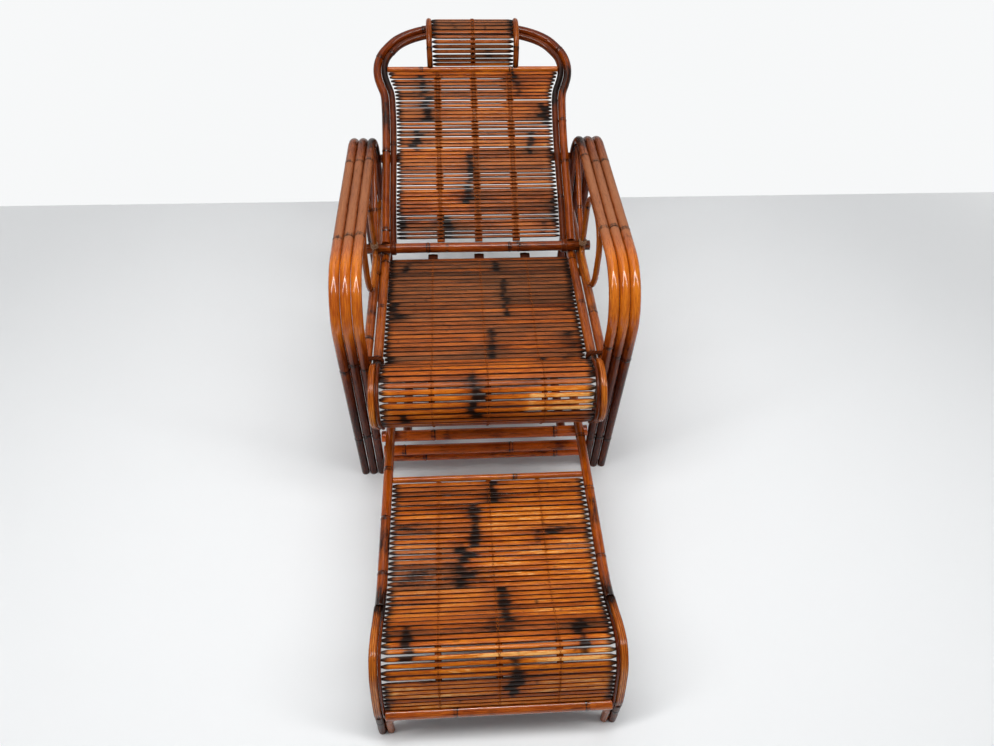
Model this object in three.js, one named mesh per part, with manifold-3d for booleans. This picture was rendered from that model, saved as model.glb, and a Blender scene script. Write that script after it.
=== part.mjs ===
import * as THREE from "three";
import { mergeVertices } from "three/addons/utils/BufferGeometryUtils.js";
import Module from "manifold-3d";

// Bamboo folding recliner, in millimetres. X runs across the chair, Y from front to back, Z up.
// The side shapes are drawn in the Y-Z plane and set out to the left and to the right.

const wasm = await Module();
wasm.setup();

// Clearances and how finely round things are drawn
const gap = 0.3;
const sideGap = 0.4;
const poleSides = 12;
const caneSides = 8;
const axleSides = 16;
const halfTurn = 180;
const rightAngle = 90;
const weldDistance = 0.0001;
const bendClearance = 1;

// Arm poles: front leg, armrest and rear leg in one bent pole, three side by side
const armPoleRadius = 11;
const armInnerFace = 250;
const armHeight = 619;
const frontBendRadius = 120;
const frontBendY = 60;
const frontLeanDeg = 2.9;
const rearBendRadius = 100;
const rearBendY = 489;
const rearSplayDeg = 5.1;
const armBendSteps = 7;
const floorOverrun = 3;
const innerArmX = armInnerFace + armPoleRadius;
const armPolePitch = 2 * armPoleRadius + sideGap;
const betweenLegs = armInnerFace - gap;

// Side rails, and the oval loops that stand on them
const sideRailRadius = 11;
const railEndGap = 1.5;
const seatHeight = 394;
const loopRadius = 7;
const loopFrontY = 147;
const loopBackY = 331;
const loopFootFrontY = 235;
const loopFootCorner = 20;
const loopTopShare = 0.38;
const loopFootShare = 0.44;
const loopSteps = 7;
const loopCornerSteps = 3;

// Axle rail that carries the back; it lies on the rails of the seat and of the sides
const axleRadius = 12.5;
const axleOverhang = 11;
const axleY = 350;

// Braces from the loop to the rear bend, and the cane that ties them to the loop
const braceRadius = 6.5;
const braceFootRise = 33.2;
const braceFootGap = 0.5;
const braceEndGap = 1.9;
const braceEndDeg = 48;
const braceShares = [[0, 0], [0.376, 0.301], [0.692, 0.679], [1, 1]];
const tieRise = 30;
const tieHeight = 16;
const tieThickness = 2;

// Seat rails: round behind, thinned to a strip where they roll over the front edge
const seatRailRadius = 11;
const seatRailSideGap = 2;
const seatRailBackY = 372;
const seatRailThickEndY = -50;
const neckY = -35.5;
const neckRadius = 14;
const neckSteps = 3;
const rollRadius = 63;
const rollY = -105;
const rollDrop = 23;
const rollStartDeg = 40;
const rollEndDeg = 222;
const rollSteps = 12;
const rollTailBack = 31.8;
const rollTailDrop = 44.8;
const seatStripWidth = 8.4;
const stripDepth = 14;
const bandOverlap = 3;
const seatRailX = armInnerFace - seatRailSideGap - seatRailRadius;
const seatInnerFace = seatRailX - seatRailRadius;

// Slat fields
const slatHeight = 5;
const slatBevelShare = 0.16;
const slatEndGap = 0.4;
const battenWidth = 13;
const battenDepth = 5;
const battenSink = 0.5;
const looseBattenDrop = 1.2;
const seatSlatCount = 46;
const seatSlatBackY = 331;
const seatSlatGap = 1.6;
const seatSlatStart = 14;
const seatBattenX = 118;
const seatBattenStart = 7;
const seatBattenBackY = 357;

// Cross pieces of the frame
const bearerRadius = 11;
const rearBearerY = 300;
const rearBearerOverhang = 3;
const upperStretcherRadius = 13.5;
const upperStretcherZ = 152;
const pairStretcherRadius = 13;
const pairLowerZ = 65.1;
const rearStretcherRadius = 12;
const runnerRadius = 11;
const runnerX = 190;
const bindingThickness = 2.5;
const bindingWidth = 14;
const bindingFrontY = -34;
const bindingSideGap = 0.9;

// Back: everything is drawn flat, x across and s along the back from the axle, then tilted up
const backTiltDeg = 31;
const outerPoleRadius = 10.5;
const outerPoleStart = 13.5;
const innerPoleRadius = 8.25;
const innerPoleStart = 14.5;
const archHalfWidth = 266.5;
const archLength = 654;
const archShares = [
  [0.9231, 0.183], [0.9174, 0.321], [0.9137, 0.474], [0.9193, 0.604], [0.9306, 0.661], [0.9606, 0.696],
  [0.9887, 0.734], [1, 0.775], [0.9887, 0.815], [0.9512, 0.856], [0.8893, 0.89], [0.8068, 0.924],
  [0.7017, 0.95], [0.5816, 0.969], [0.4428, 0.983], [0.2251, 0.995], [0, 1],
];
const eyeWidth = 14;
const eyeWall = 4;
const topBarRadius = 7.25;
const topBarDrop = 145;
const backSlatCount = 45;
const backSlatFirst = 22;
const backSlatTopGap = 14;
const backSlatGap = 1.3;
const backSlatEndGap = 0.8;
const backBattenX = 96;
const rearTopRailRadius = 11;
const rearTopRailS = 261;
const topBarS = archLength - topBarDrop;

// Headrest: two bowed hoops from the top bar to the arch, with slats between them
const hoopRadius = 7.5;
const hoopX = 114.5;
const hoopRise = 65;
const hoopFootDeg = 51;
const hoopFootGap = 0.8;
const hoopTopGap = 0.6;
const hoopShares = [
  [0.037, 0.283], [0.09, 0.55], [0.23, 0.817], [0.435, 0.983], [0.64, 1],
  [0.829, 0.85], [0.92, 0.667], [0.973, 0.433],
];
const headSlatCount = 14;
const headSlatPitch = 11.2;
const headSlatGap = 2.2;
const headSlatStart = 7;

// Footrest
const footRailRadius = 11;
const footRailX = 226.5;
const footRailBackY = 55;
const footNeckY = -500;
const footStripWidth = 6.5;
const footBandWidth = 16;
const footBandEndGap = 0.6;
const footLegY = -665;
const footLegTop = 86;
const footLegRadius = 8.5;
const footCrestY = -607;
const footCrestZ = 226;
const footFlatFrontY = -415;
const footRiseShares = [[0, 0], [0.01, 0.13], [0.09, 0.32], [0.23, 0.56], [0.48, 0.83], [1, 1]];
const footFallShares = [[0.208, 0.122], [0.401, 0.478], [0.583, 0.762], [0.792, 0.955], [1, 1]];
const footRollSteps = 22;
const footSlatCount = 46;
const footSlatBackY = -202;
const footSlatStart = 26;
const footSlatGap = 1.4;
const footBattenX = 112;
const footTopBarRadius = 7;
const footTopBarY = -190;
const footCrossBarRadius = 8;
const footCrossBarY = 30;
const footCrossBarHalf = 235;
const footFrontRailRadius = 11.5;
const footFrontRailY = -668.5;
const footFrontRailZ = 98;
const apronRadius = 7.5;
const apronShoulder = 30;
const apronSteps = 5;
const footInnerFace = footRailX - footRailRadius;
const footOuterFace = footInnerFace + footStripWidth + gap + footBandWidth;
const footLegX = footOuterFace - footLegRadius;

// Heights that follow from what lies on what
const axleZ = seatHeight + seatRailRadius + gap + axleRadius;
const footRailZ = upperStretcherZ + upperStretcherRadius + gap + footRailRadius;
const footCrossBarZ = footRailZ - footRailRadius - gap - footCrossBarRadius;
const runnerZ = footCrossBarZ - footCrossBarRadius - gap - runnerRadius;

const radians = THREE.MathUtils.degToRad;
const group = new THREE.Group();

// Finishes
function finish(colour, roughness) {
  return new THREE.MeshStandardMaterial({ color: colour, roughness, metalness: 0 });
}
const poleBamboo = finish(0xa9581f, 0.35);
const darkBamboo = finish(0x6b3416, 0.4);
const splitBamboo = finish(0xb5683a, 0.45);
const laminatedCane = finish(0xbd6f2c, 0.4);
const caneWrap = finish(0xcfa878, 0.6);

function add(name, geometry, material) {
  const mesh = new THREE.Mesh(geometry, material);
  mesh.name = name;
  group.add(mesh);
  return mesh;
}

// A path through chosen points, straight from each to the next, with one ring at each point.
class Route extends THREE.Curve {
  constructor(points) {
    super();
    this.points = points;
  }

  getPoint(t, target = new THREE.Vector3()) {
    const last = this.points.length - 1;
    const place = THREE.MathUtils.clamp(t, 0, 1) * last;
    const from = Math.min(Math.floor(place), last - 1);
    return target.lerpVectors(this.points[from], this.points[from + 1], place - from);
  }

  getUtoTmapping(u) {
    return u;
  }
}

// The same for a path in the Y-Z plane that carries a flat section, which must not twist.
class SideRoute extends Route {
  computeFrenetFrames(steps) {
    const tangents = [];
    const normals = [];
    const binormals = [];
    for (let i = 0; i <= steps; i++) {
      const tangent = this.getTangentAt(i / steps);
      const normal = new THREE.Vector3(-1, 0, 0);
      tangents.push(tangent);
      normals.push(normal);
      binormals.push(new THREE.Vector3().crossVectors(tangent, normal));
    }
    return { tangents, normals, binormals };
  }
}

function sidePoint(y, z) {
  return new THREE.Vector3(0, y, z);
}

// Points on an arc in the Y-Z plane; zero degrees points to the back and ninety points up.
function sideArc(y, z, radius, fromDeg, toDeg, steps) {
  const points = [];
  for (let i = 0; i <= steps; i++) {
    const angle = radians(THREE.MathUtils.lerp(fromDeg, toDeg, i / steps));
    points.push(sidePoint(y + radius * Math.cos(angle), z + radius * Math.sin(angle)));
  }
  return points;
}

// Points given as shares of the way back and of the way up from one point to another
function pointsFromShares(shares, from, to) {
  return shares.map(([back, up]) => sidePoint(
    THREE.MathUtils.lerp(from.y, to.y, back),
    THREE.MathUtils.lerp(from.z, to.z, up),
  ));
}

function roundSection(radius, sides) {
  const points = [];
  for (let i = 0; i < sides; i++) {
    const angle = radians((2 * halfTurn * i) / sides);
    points.push(new THREE.Vector2(radius * Math.cos(angle), radius * Math.sin(angle)));
  }
  return new THREE.Shape(points);
}

function boxSection(halfWidth, low, high) {
  return new THREE.Shape([
    new THREE.Vector2(-halfWidth, low),
    new THREE.Vector2(halfWidth, low),
    new THREE.Vector2(halfWidth, high),
    new THREE.Vector2(-halfWidth, high),
  ]);
}

function sweep(section, route) {
  return new THREE.ExtrudeGeometry(section, {
    extrudePath: route,
    steps: route.points.length - 1,
    bevelEnabled: false,
  });
}

function pole(points, radius, sides = poleSides) {
  return sweep(roundSection(radius, sides), new Route(points));
}

// A flat piece that follows a side line; low and high are measured off the line.
function strip(points, width, low, high) {
  return sweep(boxSection(width / 2, low, high), new SideRoute(points));
}

function crossPole(halfLength, y, z, radius, sides = poleSides) {
  const ends = [-halfLength, halfLength].map((x) => new THREE.Vector3(x, y, z));
  return pole(ends, radius, sides);
}

// Adds one piece to each side; the shapes lie in the Y-Z plane, so a shift across is enough.
function addPair(name, makeGeometry, x, material) {
  const sidesOfChair = [["left", -1], ["right", 1]];
  for (const [sideName, sign] of sidesOfChair) {
    const geometry = makeGeometry(sign);
    geometry.translate(sign * x, 0, 0);
    add(name + "_" + sideName, geometry, material);
  }
}

// Boolean helpers
function solidOf(geometry) {
  const bare = geometry.clone();
  bare.deleteAttribute("normal");
  bare.deleteAttribute("uv");
  const merged = mergeVertices(bare, weldDistance);
  return new wasm.Manifold(new wasm.Mesh({
    numProp: 3,
    vertProperties: merged.attributes.position.array,
    triVerts: new Uint32Array(merged.index.array),
  }));
}

function geometryOf(solid) {
  const mesh = solid.getMesh();
  const geometry = new THREE.BufferGeometry();
  geometry.setAttribute("position", new THREE.BufferAttribute(mesh.vertProperties, 3));
  geometry.setIndex(new THREE.BufferAttribute(mesh.triVerts, 1));
  const flat = geometry.toNonIndexed();
  flat.computeVertexNormals();
  return flat;
}

function joined(geometries) {
  const solids = geometries.map(solidOf);
  return geometryOf(solids.reduce((whole, piece) => whole.add(piece)));
}

function trimmedAtFloor(geometry) {
  const box = new THREE.Box3().setFromBufferAttribute(geometry.attributes.position);
  const size = box.getSize(new THREE.Vector3()).addScalar(2 * armPoleRadius);
  const block = new THREE.BoxGeometry(size.x, size.y, armPoleRadius);
  const middle = box.getCenter(new THREE.Vector3());
  block.translate(middle.x, middle.y, -armPoleRadius / 2);
  return geometryOf(solidOf(geometry).subtract(solidOf(block)));
}

// Side view of an arm pole, from the front foot over the arm to the rear foot
const frontBendZ = armHeight - frontBendRadius;
const rearBendZ = armHeight - rearBendRadius;

function frontLegY(z) {
  const lean = radians(frontLeanDeg);
  const top = sideArc(frontBendY, frontBendZ, frontBendRadius, halfTurn + frontLeanDeg, 0, 1)[0];
  return top.y + (top.z - z) * Math.tan(lean);
}

function rearLegY(z) {
  const top = sideArc(rearBendY, rearBendZ, rearBendRadius, rearSplayDeg, 0, 1)[0];
  return top.y + (top.z - z) * Math.tan(radians(rearSplayDeg));
}

function armPoints() {
  const front = sideArc(
    frontBendY, frontBendZ, frontBendRadius, halfTurn + frontLeanDeg, rightAngle, armBendSteps,
  );
  const rear = sideArc(
    rearBendY, rearBendZ, rearBendRadius, rightAngle, rearSplayDeg, armBendSteps,
  );
  return [
    sidePoint(frontLegY(-floorOverrun), -floorOverrun),
    ...front,
    ...rear,
    sidePoint(rearLegY(-floorOverrun), -floorOverrun),
  ];
}

function addArms() {
  const names = ["arm_pole_inner", "arm_pole_middle", "arm_pole_outer"];
  names.forEach((name, i) => {
    const make = () => trimmedAtFloor(pole(armPoints(), armPoleRadius));
    addPair(name, make, innerArmX + i * armPolePitch, poleBamboo);
  });
}

// Side rails and loops
const loopFootZ = seatHeight + sideRailRadius + gap + loopRadius;
const loopTopZ = armHeight - armPoleRadius - gap - loopRadius;

function addSideRails() {
  const front = frontLegY(seatHeight) + armPoleRadius + railEndGap;
  const back = rearLegY(seatHeight) - armPoleRadius - railEndGap;
  const make = () => pole([sidePoint(front, seatHeight), sidePoint(back, seatHeight)], sideRailRadius);
  addPair("side_rail", make, innerArmX, darkBamboo);
}

// The loop starts and ends at the middle of its top, where its two ends butt.
function loopPoints() {
  const narrower = Math.min(loopBackY - loopFrontY, loopTopZ - loopFootZ);
  const topMiddle = (loopFrontY + loopBackY) / 2;
  const topRadius = narrower * loopTopShare;
  const footRadius = narrower * loopFootShare;
  const cornerY = loopBackY - loopFootCorner;
  const cornerZ = loopFootZ + loopFootCorner;
  const topZ = loopTopZ - topRadius;
  return [
    sidePoint(topMiddle + gap / 2, loopTopZ),
    ...sideArc(loopBackY - topRadius, topZ, topRadius, rightAngle, 0, loopSteps),
    ...sideArc(cornerY, cornerZ, loopFootCorner, 0, -rightAngle, loopCornerSteps),
    sidePoint(loopFootFrontY, loopFootZ),
    ...sideArc(
      loopFrontY + footRadius, loopFootZ + footRadius, footRadius, -rightAngle, -halfTurn, loopSteps,
    ),
    ...sideArc(loopFrontY + topRadius, topZ, topRadius, halfTurn, rightAngle, loopSteps),
    sidePoint(topMiddle - gap / 2, loopTopZ),
  ];
}

function addLoops() {
  addPair("arm_loop", () => pole(loopPoints(), loopRadius, caneSides), innerArmX, laminatedCane);
}

// The brace runs from the back of the loop up to the inner side of the rear bend.
function bracePoints() {
  const reach = rearBendRadius - armPoleRadius - braceEndGap;
  const end = sideArc(rearBendY, rearBendZ, reach, braceEndDeg, 0, 1)[0];
  const footY = loopBackY + loopRadius + braceRadius + braceFootGap;
  const footZ = seatHeight + sideRailRadius + braceFootRise;
  return pointsFromShares(braceShares, sidePoint(footY, footZ), end);
}

function ring(innerRadius, outerRadius, width, sides) {
  const shape = roundSection(outerRadius, sides);
  shape.holes.push(roundSection(innerRadius, sides));
  return new THREE.ExtrudeGeometry(shape, { depth: width, bevelEnabled: false });
}

function addBraces() {
  addPair("arm_brace", () => pole(bracePoints(), braceRadius, caneSides), innerArmX, poleBamboo);
  const make = () => {
    const inner = loopRadius + gap;
    const tie = ring(inner, inner + tieThickness, tieHeight, caneSides);
    tie.translate(0, loopBackY, seatHeight + sideRailRadius + tieRise);
    return tie;
  };
  addPair("loop_binding", make, innerArmX, caneWrap);
}

// Side view of the seat, from the tail of the roll at the front to the rear
const seatScroll = sideArc(
  rollY, seatHeight - rollDrop, rollRadius, rollEndDeg, rollStartDeg, rollSteps,
);
const seatNeck = sideArc(
  neckY, seatHeight + neckRadius, neckRadius, halfTurn + rollStartDeg, 3 * rightAngle, neckSteps,
);
const rollTail = sidePoint(seatScroll[0].y + rollTailBack, seatScroll[0].z - rollTailDrop);
const seatRoll = [rollTail, ...seatScroll, ...seatNeck];

// The strip and the band lie side by side across the width that the round rail takes behind.
const seatStripX = seatInnerFace + gap + seatStripWidth / 2;
const seatBandInnerFace = seatStripX + seatStripWidth / 2 + gap;
const seatBandOuterFace = armInnerFace - gap;
const seatBandX = (seatBandInnerFace + seatBandOuterFace) / 2;

function addSeatRails() {
  const halfDepth = stripDepth / 2;
  const makeRail = (sign) => {
    const ends = [sidePoint(seatRailThickEndY, seatHeight), sidePoint(seatRailBackY, seatHeight)];
    const thin = strip(seatRoll, seatStripWidth, -halfDepth, halfDepth);
    thin.translate(sign * (seatStripX - seatRailX), 0, 0);
    return joined([pole(ends, seatRailRadius), thin]);
  };
  addPair("seat_rail", makeRail, seatRailX, darkBamboo);
  const bandLine = carriedOn([rollTail, ...seatScroll], bandOverlap);
  const bandWidth = seatBandOuterFace - seatBandInnerFace;
  const makeBand = () => strip(bandLine, bandWidth, -halfDepth, halfDepth);
  addPair("seat_scroll_band", makeBand, seatBandX, laminatedCane);
}

// Carries a line on past its last point by the given length.
function carriedOn(points, length) {
  const last = points[points.length - 1];
  const before = points[points.length - 2];
  const step = last.clone().sub(before).setLength(length);
  return [...points, last.clone().add(step)];
}

// Slat fields. A line runs so that its left-hand normal points to the side that is sat on.
class Profile {
  constructor(points) {
    this.points = points;
    this.starts = [0];
    for (let i = 1; i < points.length; i++) {
      this.starts.push(this.starts[i - 1] + points[i].distanceTo(points[i - 1]));
    }
    this.length = this.starts[points.length - 1];
  }

  at(distance) {
    let i = 1;
    while (i < this.points.length - 1 && this.starts[i] < distance) i++;
    const share = (distance - this.starts[i - 1]) / (this.starts[i] - this.starts[i - 1]);
    return new THREE.Vector3().lerpVectors(this.points[i - 1], this.points[i], share);
  }

  // The part of the line between two distances, with its own bends kept.
  between(from, to) {
    const low = from + bendClearance;
    const high = to - bendClearance;
    const inside = this.points.filter((_, i) => this.starts[i] > low && this.starts[i] < high);
    return [this.at(from), ...inside, this.at(to)];
  }
}

function slatSection(width) {
  const bevel = width * slatBevelShare;
  return new THREE.Shape([
    new THREE.Vector2(0, 0),
    new THREE.Vector2(width, 0),
    new THREE.Vector2(width - bevel, slatHeight),
    new THREE.Vector2(bevel, slatHeight),
  ]);
}

function slat(profile, from, to, halfLength) {
  const start = profile.at(from);
  const chord = profile.at(to).sub(start);
  const width = chord.length();
  const along = chord.normalize();
  const across = new THREE.Vector3(1, 0, 0);
  const up = new THREE.Vector3().crossVectors(across, along);
  const bar = new THREE.ExtrudeGeometry(slatSection(width), {
    depth: 2 * halfLength,
    bevelEnabled: false,
  });
  bar.translate(0, 0, -halfLength);
  bar.applyMatrix4(new THREE.Matrix4().makeBasis(along, up, across).setPosition(start));
  return bar;
}

function batten(profile, from, to, top) {
  return strip(profile.between(from, to), battenWidth, -battenDepth, top);
}

// Slats from one distance to another along the profile, lashed to a batten under their middle.
function slatField(profile, field) {
  const pitch = (field.to - field.from) / field.count;
  const pieces = [batten(profile, field.battenFrom, field.battenTo, battenSink)];
  for (let i = 0; i < field.count; i++) {
    const from = field.from + i * pitch + field.slatGap / 2;
    const to = from + pitch - field.slatGap;
    pieces.push(slat(profile, from, to, field.halfLengthAt(from, to)));
  }
  return joined(pieces);
}

function addSlats(name, profile, field, place = (geometry) => geometry) {
  add(name + "_slats", place(slatField(profile, field)), splitBamboo);
  if (!field.battenX) return;
  const make = () => {
    const side = batten(profile, field.battenFrom, field.battenTo, -looseBattenDrop);
    return place(side);
  };
  addPair(name + "_batten", make, field.battenX, darkBamboo);
}

function addSeatSlats() {
  const profile = new Profile([...seatRoll, sidePoint(seatRailBackY, seatHeight)]);
  const toSlats = profile.length - (seatRailBackY - seatSlatBackY);
  const toBatten = profile.length - (seatRailBackY - seatBattenBackY);
  const bindingBackY = bindingFrontY + bindingWidth;
  const half = seatInnerFace - slatEndGap;
  const halfBesideBinding = seatInnerFace - bindingThickness - slatEndGap - bindingSideGap;
  const halfLengthAt = (from, to) => {
    const clear = profile.at(from).y > bindingBackY + gap || profile.at(to).y < bindingFrontY - gap;
    return clear ? half : halfBesideBinding;
  };
  addSlats("seat", profile, {
    from: seatSlatStart,
    to: toSlats,
    count: seatSlatCount,
    slatGap: seatSlatGap,
    halfLengthAt,
    battenX: seatBattenX,
    battenFrom: seatBattenStart,
    battenTo: toBatten,
  });
}

// Cross pieces between and under the legs
function addCrossPieces() {
  const bearerZ = seatHeight - seatRailRadius - gap - bearerRadius;
  const rearBearerHalf = innerArmX + sideRailRadius + rearBearerOverhang;
  const pairUpperZ = pairLowerZ + 2 * pairStretcherRadius + sideGap;
  const rails = [
    ["seat_front_bearer", betweenLegs, frontLegY(bearerZ), bearerZ, bearerRadius],
    ["seat_rear_bearer", rearBearerHalf, rearBearerY, bearerZ, bearerRadius],
    ["front_stretcher", betweenLegs, frontLegY(upperStretcherZ), upperStretcherZ, upperStretcherRadius],
    ["front_pair_upper", betweenLegs, frontLegY(pairUpperZ), pairUpperZ, pairStretcherRadius],
    ["front_pair_lower", betweenLegs, frontLegY(pairLowerZ), pairLowerZ, pairStretcherRadius],
    ["rear_stretcher", betweenLegs, rearLegY(runnerZ), runnerZ, rearStretcherRadius],
  ];
  for (const [name, half, y, z, radius] of rails) {
    add(name, crossPole(half, y, z, radius), darkBamboo);
  }
  const axleHalf = innerArmX + sideRailRadius + axleOverhang;
  add("axle_rail", crossPole(axleHalf, axleY, axleZ, axleRadius, axleSides), poleBamboo);
  const runnerFront = frontLegY(upperStretcherZ) + upperStretcherRadius + gap;
  const runnerBack = rearLegY(runnerZ) - rearStretcherRadius - gap;
  const ends = [sidePoint(runnerFront, runnerZ), sidePoint(runnerBack, runnerZ)];
  addPair("footrest_runner", () => pole(ends, runnerRadius), runnerX, darkBamboo);
}

// Cane that ties each seat rail to the side rail beside it, behind the front leg
function addNeckBindings() {
  const halfSpan = (innerArmX - seatRailX) / 2;
  const stadium = (radius) => {
    const points = [];
    for (let i = 0; i <= caneSides; i++) {
      const angle = radians(-rightAngle + (halfTurn * i) / caneSides);
      points.push(new THREE.Vector2(halfSpan + radius * Math.cos(angle), radius * Math.sin(angle)));
    }
    const turned = points.map((p) => p.clone().negate());
    return [...points, ...turned];
  };
  const make = () => {
    const inner = (sideRailRadius + gap) / Math.cos(Math.PI / (2 * caneSides));
    const shape = new THREE.Shape(stadium(inner + bindingThickness));
    shape.holes.push(new THREE.Path(stadium(inner)));
    const binding = new THREE.ExtrudeGeometry(shape, { depth: bindingWidth, bevelEnabled: false });
    binding.rotateX(radians(rightAngle));
    binding.translate(0, bindingFrontY + bindingWidth, seatHeight);
    return binding;
  };
  addPair("neck_binding", make, seatRailX + halfSpan, caneWrap);
}

// Back, drawn flat and then tilted about the axle
const backPlace = new THREE.Matrix4()
  .makeRotationX(radians(backTiltDeg))
  .setPosition(0, axleY, axleZ);

function inBack(geometry) {
  return geometry.applyMatrix4(backPlace);
}

// The outer edge of the back, from the left foot over the arch to the right foot
function archEdge(startS) {
  const right = archShares.map(([x, s]) => new THREE.Vector2(x * archHalfWidth, s * archLength));
  right.unshift(new THREE.Vector2(right[0].x, startS));
  const left = right.slice(0, -1).reverse().map((p) => new THREE.Vector2(-p.x, p.y));
  return [...right, ...left];
}

function sideNormal(from, to) {
  const along = to.clone().sub(from).normalize();
  return new THREE.Vector2(-along.y, along.x);
}

// The same edge moved inwards by a distance, with its straight pieces kept parallel
function archInside(startS, distance) {
  const edge = archEdge(startS);
  return edge.map((point, i) => {
    const before = sideNormal(edge[Math.max(i - 1, 0)], edge[Math.max(i, 1)]);
    const end = edge.length - 1;
    const after = sideNormal(edge[Math.min(i, end - 1)], edge[Math.min(i + 1, end)]);
    const inward = before.clone().add(after).divideScalar(1 + before.dot(after));
    return point.clone().addScaledVector(inward, distance);
  });
}

const innerPoleInset = 2 * outerPoleRadius + gap + innerPoleRadius;
const archInnerFace = archInside(innerPoleStart, innerPoleInset + innerPoleRadius);

function flatRoute(points) {
  return points.map((p) => new THREE.Vector3(p.x, p.y, 0));
}

function addBackPoles() {
  const outerLine = flatRoute(archInside(outerPoleStart, outerPoleRadius));
  add("back_outer_pole", inBack(pole(outerLine, outerPoleRadius)), poleBamboo);
  const innerLine = flatRoute(archInside(innerPoleStart, innerPoleInset));
  const eyeInner = (axleRadius + gap) / Math.cos(Math.PI / axleSides);
  const eyes = [-1, 1].map((sign) => {
    const eye = ring(eyeInner, eyeInner + eyeWall, eyeWidth, axleSides);
    eye.rotateY(radians(rightAngle));
    eye.translate(sign * innerLine[0].x - eyeWidth / 2, 0, 0);
    return eye;
  });
  const inner = pole(innerLine, innerPoleRadius, caneSides);
  add("back_inner_pole", inBack(joined([inner, ...eyes])), poleBamboo);
  const barEnds = [topBarS - topBarRadius, topBarS + topBarRadius].map(backInsideHalf);
  const bar = crossPole(Math.min(...barEnds) - gap, topBarS, 0, topBarRadius, caneSides);
  add("back_top_bar", inBack(bar), darkBamboo);
}

// Half-width between the inner poles at a place along the back
function backInsideHalf(s) {
  const next = archInnerFace.findIndex((point) => point.y > s);
  const low = archInnerFace[Math.max(next - 1, 0)];
  const high = archInnerFace[next];
  return THREE.MathUtils.mapLinear(s, low.y, high.y, low.x, high.x);
}

// Where the middle of the outer pole passes over a place across the chair
function archMiddleS(x) {
  const line = archInside(outerPoleStart, outerPoleRadius);
  const next = line.findIndex((point) => point.x < x && point.y > topBarS);
  const [low, high] = [line[next - 1], line[next]];
  return THREE.MathUtils.mapLinear(x, low.x, high.x, low.y, high.y);
}

function addBackSlats() {
  const profile = new Profile([sidePoint(0, 0), sidePoint(topBarS, 0)]);
  const inside = (from, to) => Math.min(backInsideHalf(from), backInsideHalf(to)) - backSlatEndGap;
  addSlats("back", profile, {
    from: backSlatFirst,
    to: topBarS - backSlatTopGap,
    count: backSlatCount,
    slatGap: backSlatGap,
    halfLengthAt: inside,
    battenX: backBattenX,
    battenFrom: backSlatFirst - battenDepth,
    battenTo: topBarS - topBarRadius - gap,
  }, inBack);
}

// A hoop stands on the top bar and leans over to the arch.
function hoopPoints() {
  const reach = topBarRadius + hoopFootGap;
  const [foot] = sideArc(topBarS, 0, reach, hoopFootDeg, 0, 1);
  const top = sidePoint(archMiddleS(hoopX), outerPoleRadius + hoopTopGap);
  const bow = pointsFromShares(hoopShares, sidePoint(foot.y, 0), sidePoint(top.y, hoopRise));
  return [foot, ...bow, top];
}

function addHeadrest() {
  const line = hoopPoints();
  addPair("headrest_hoop", () => inBack(pole(line, hoopRadius, caneSides)), hoopX, laminatedCane);
  const half = hoopX - hoopRadius - gap;
  const end = headSlatStart + headSlatCount * headSlatPitch;
  addSlats("headrest", new Profile(line), {
    from: headSlatStart,
    to: end,
    count: headSlatCount,
    slatGap: headSlatGap,
    halfLengthAt: () => half,
    battenFrom: headSlatStart,
    battenTo: end,
  }, inBack);
}

// The pole that the back rests on: under the back, between the inner rear legs
function addRearTopRail() {
  const drop = outerPoleRadius + rearTopRailRadius + gap;
  const centre = new THREE.Vector3(0, rearTopRailS, -drop).applyMatrix4(backPlace);
  const rail = crossPole(betweenLegs, centre.y, centre.z, rearTopRailRadius);
  add("rear_top_rail", rail, darkBamboo);
}

// Footrest: up from the leg, over the crest and down to the flat part
const footRollLow = sidePoint(footLegY, footLegTop + gap);
const footCrest = sidePoint(footCrestY, footCrestZ);
const footFlat = sidePoint(footFlatFrontY, footRailZ);
const footRollPoints = new THREE.CatmullRomCurve3(
  [
    ...pointsFromShares(footRiseShares, footRollLow, footCrest),
    ...pointsFromShares(footFallShares, footCrest, footFlat),
  ],
  false,
  "centripetal",
).getSpacedPoints(footRollSteps);
const footProfile = new Profile([...footRollPoints, sidePoint(footRailBackY, footRailZ)]);

// Distance along the footrest line at which it reaches a place between front and back
function footDistance(y) {
  return footProfile.length - (footRailBackY - y);
}

function footNeckDistance() {
  return footProfile.starts[footProfile.points.findIndex((point) => point.y > footNeckY)];
}

function addFootrestRails() {
  const neck = footNeckDistance();
  const halfDepth = stripDepth / 2;
  const stripX = footInnerFace + footStripWidth / 2;
  const bandX = footOuterFace - footBandWidth / 2;
  const makeRail = (sign) => {
    const thick = pole(footProfile.between(neck, footProfile.length), footRailRadius);
    const thin = strip(footProfile.between(0, neck + stripDepth), footStripWidth, -halfDepth, halfDepth);
    thin.translate(sign * (stripX - footRailX), 0, 0);
    return joined([thick, thin]);
  };
  addPair("footrest_rail", makeRail, footRailX, poleBamboo);
  const bandLine = footProfile.between(0, neck - footBandEndGap);
  const makeBand = () => strip(bandLine, footBandWidth, -halfDepth, halfDepth);
  addPair("footrest_scroll_band", makeBand, bandX, laminatedCane);
  const leg = [sidePoint(footLegY, 0), sidePoint(footLegY, footLegTop)];
  addPair("footrest_leg", () => pole(leg, footLegRadius), footLegX, darkBamboo);
}

function addFootrestSlats() {
  addSlats("footrest", footProfile, {
    from: footSlatStart,
    to: footDistance(footSlatBackY),
    count: footSlatCount,
    slatGap: footSlatGap,
    halfLengthAt: () => footInnerFace - gap,
    battenX: footBattenX,
    battenFrom: footSlatStart,
    battenTo: footDistance(footTopBarY) - footTopBarRadius - gap,
  });
}

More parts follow.
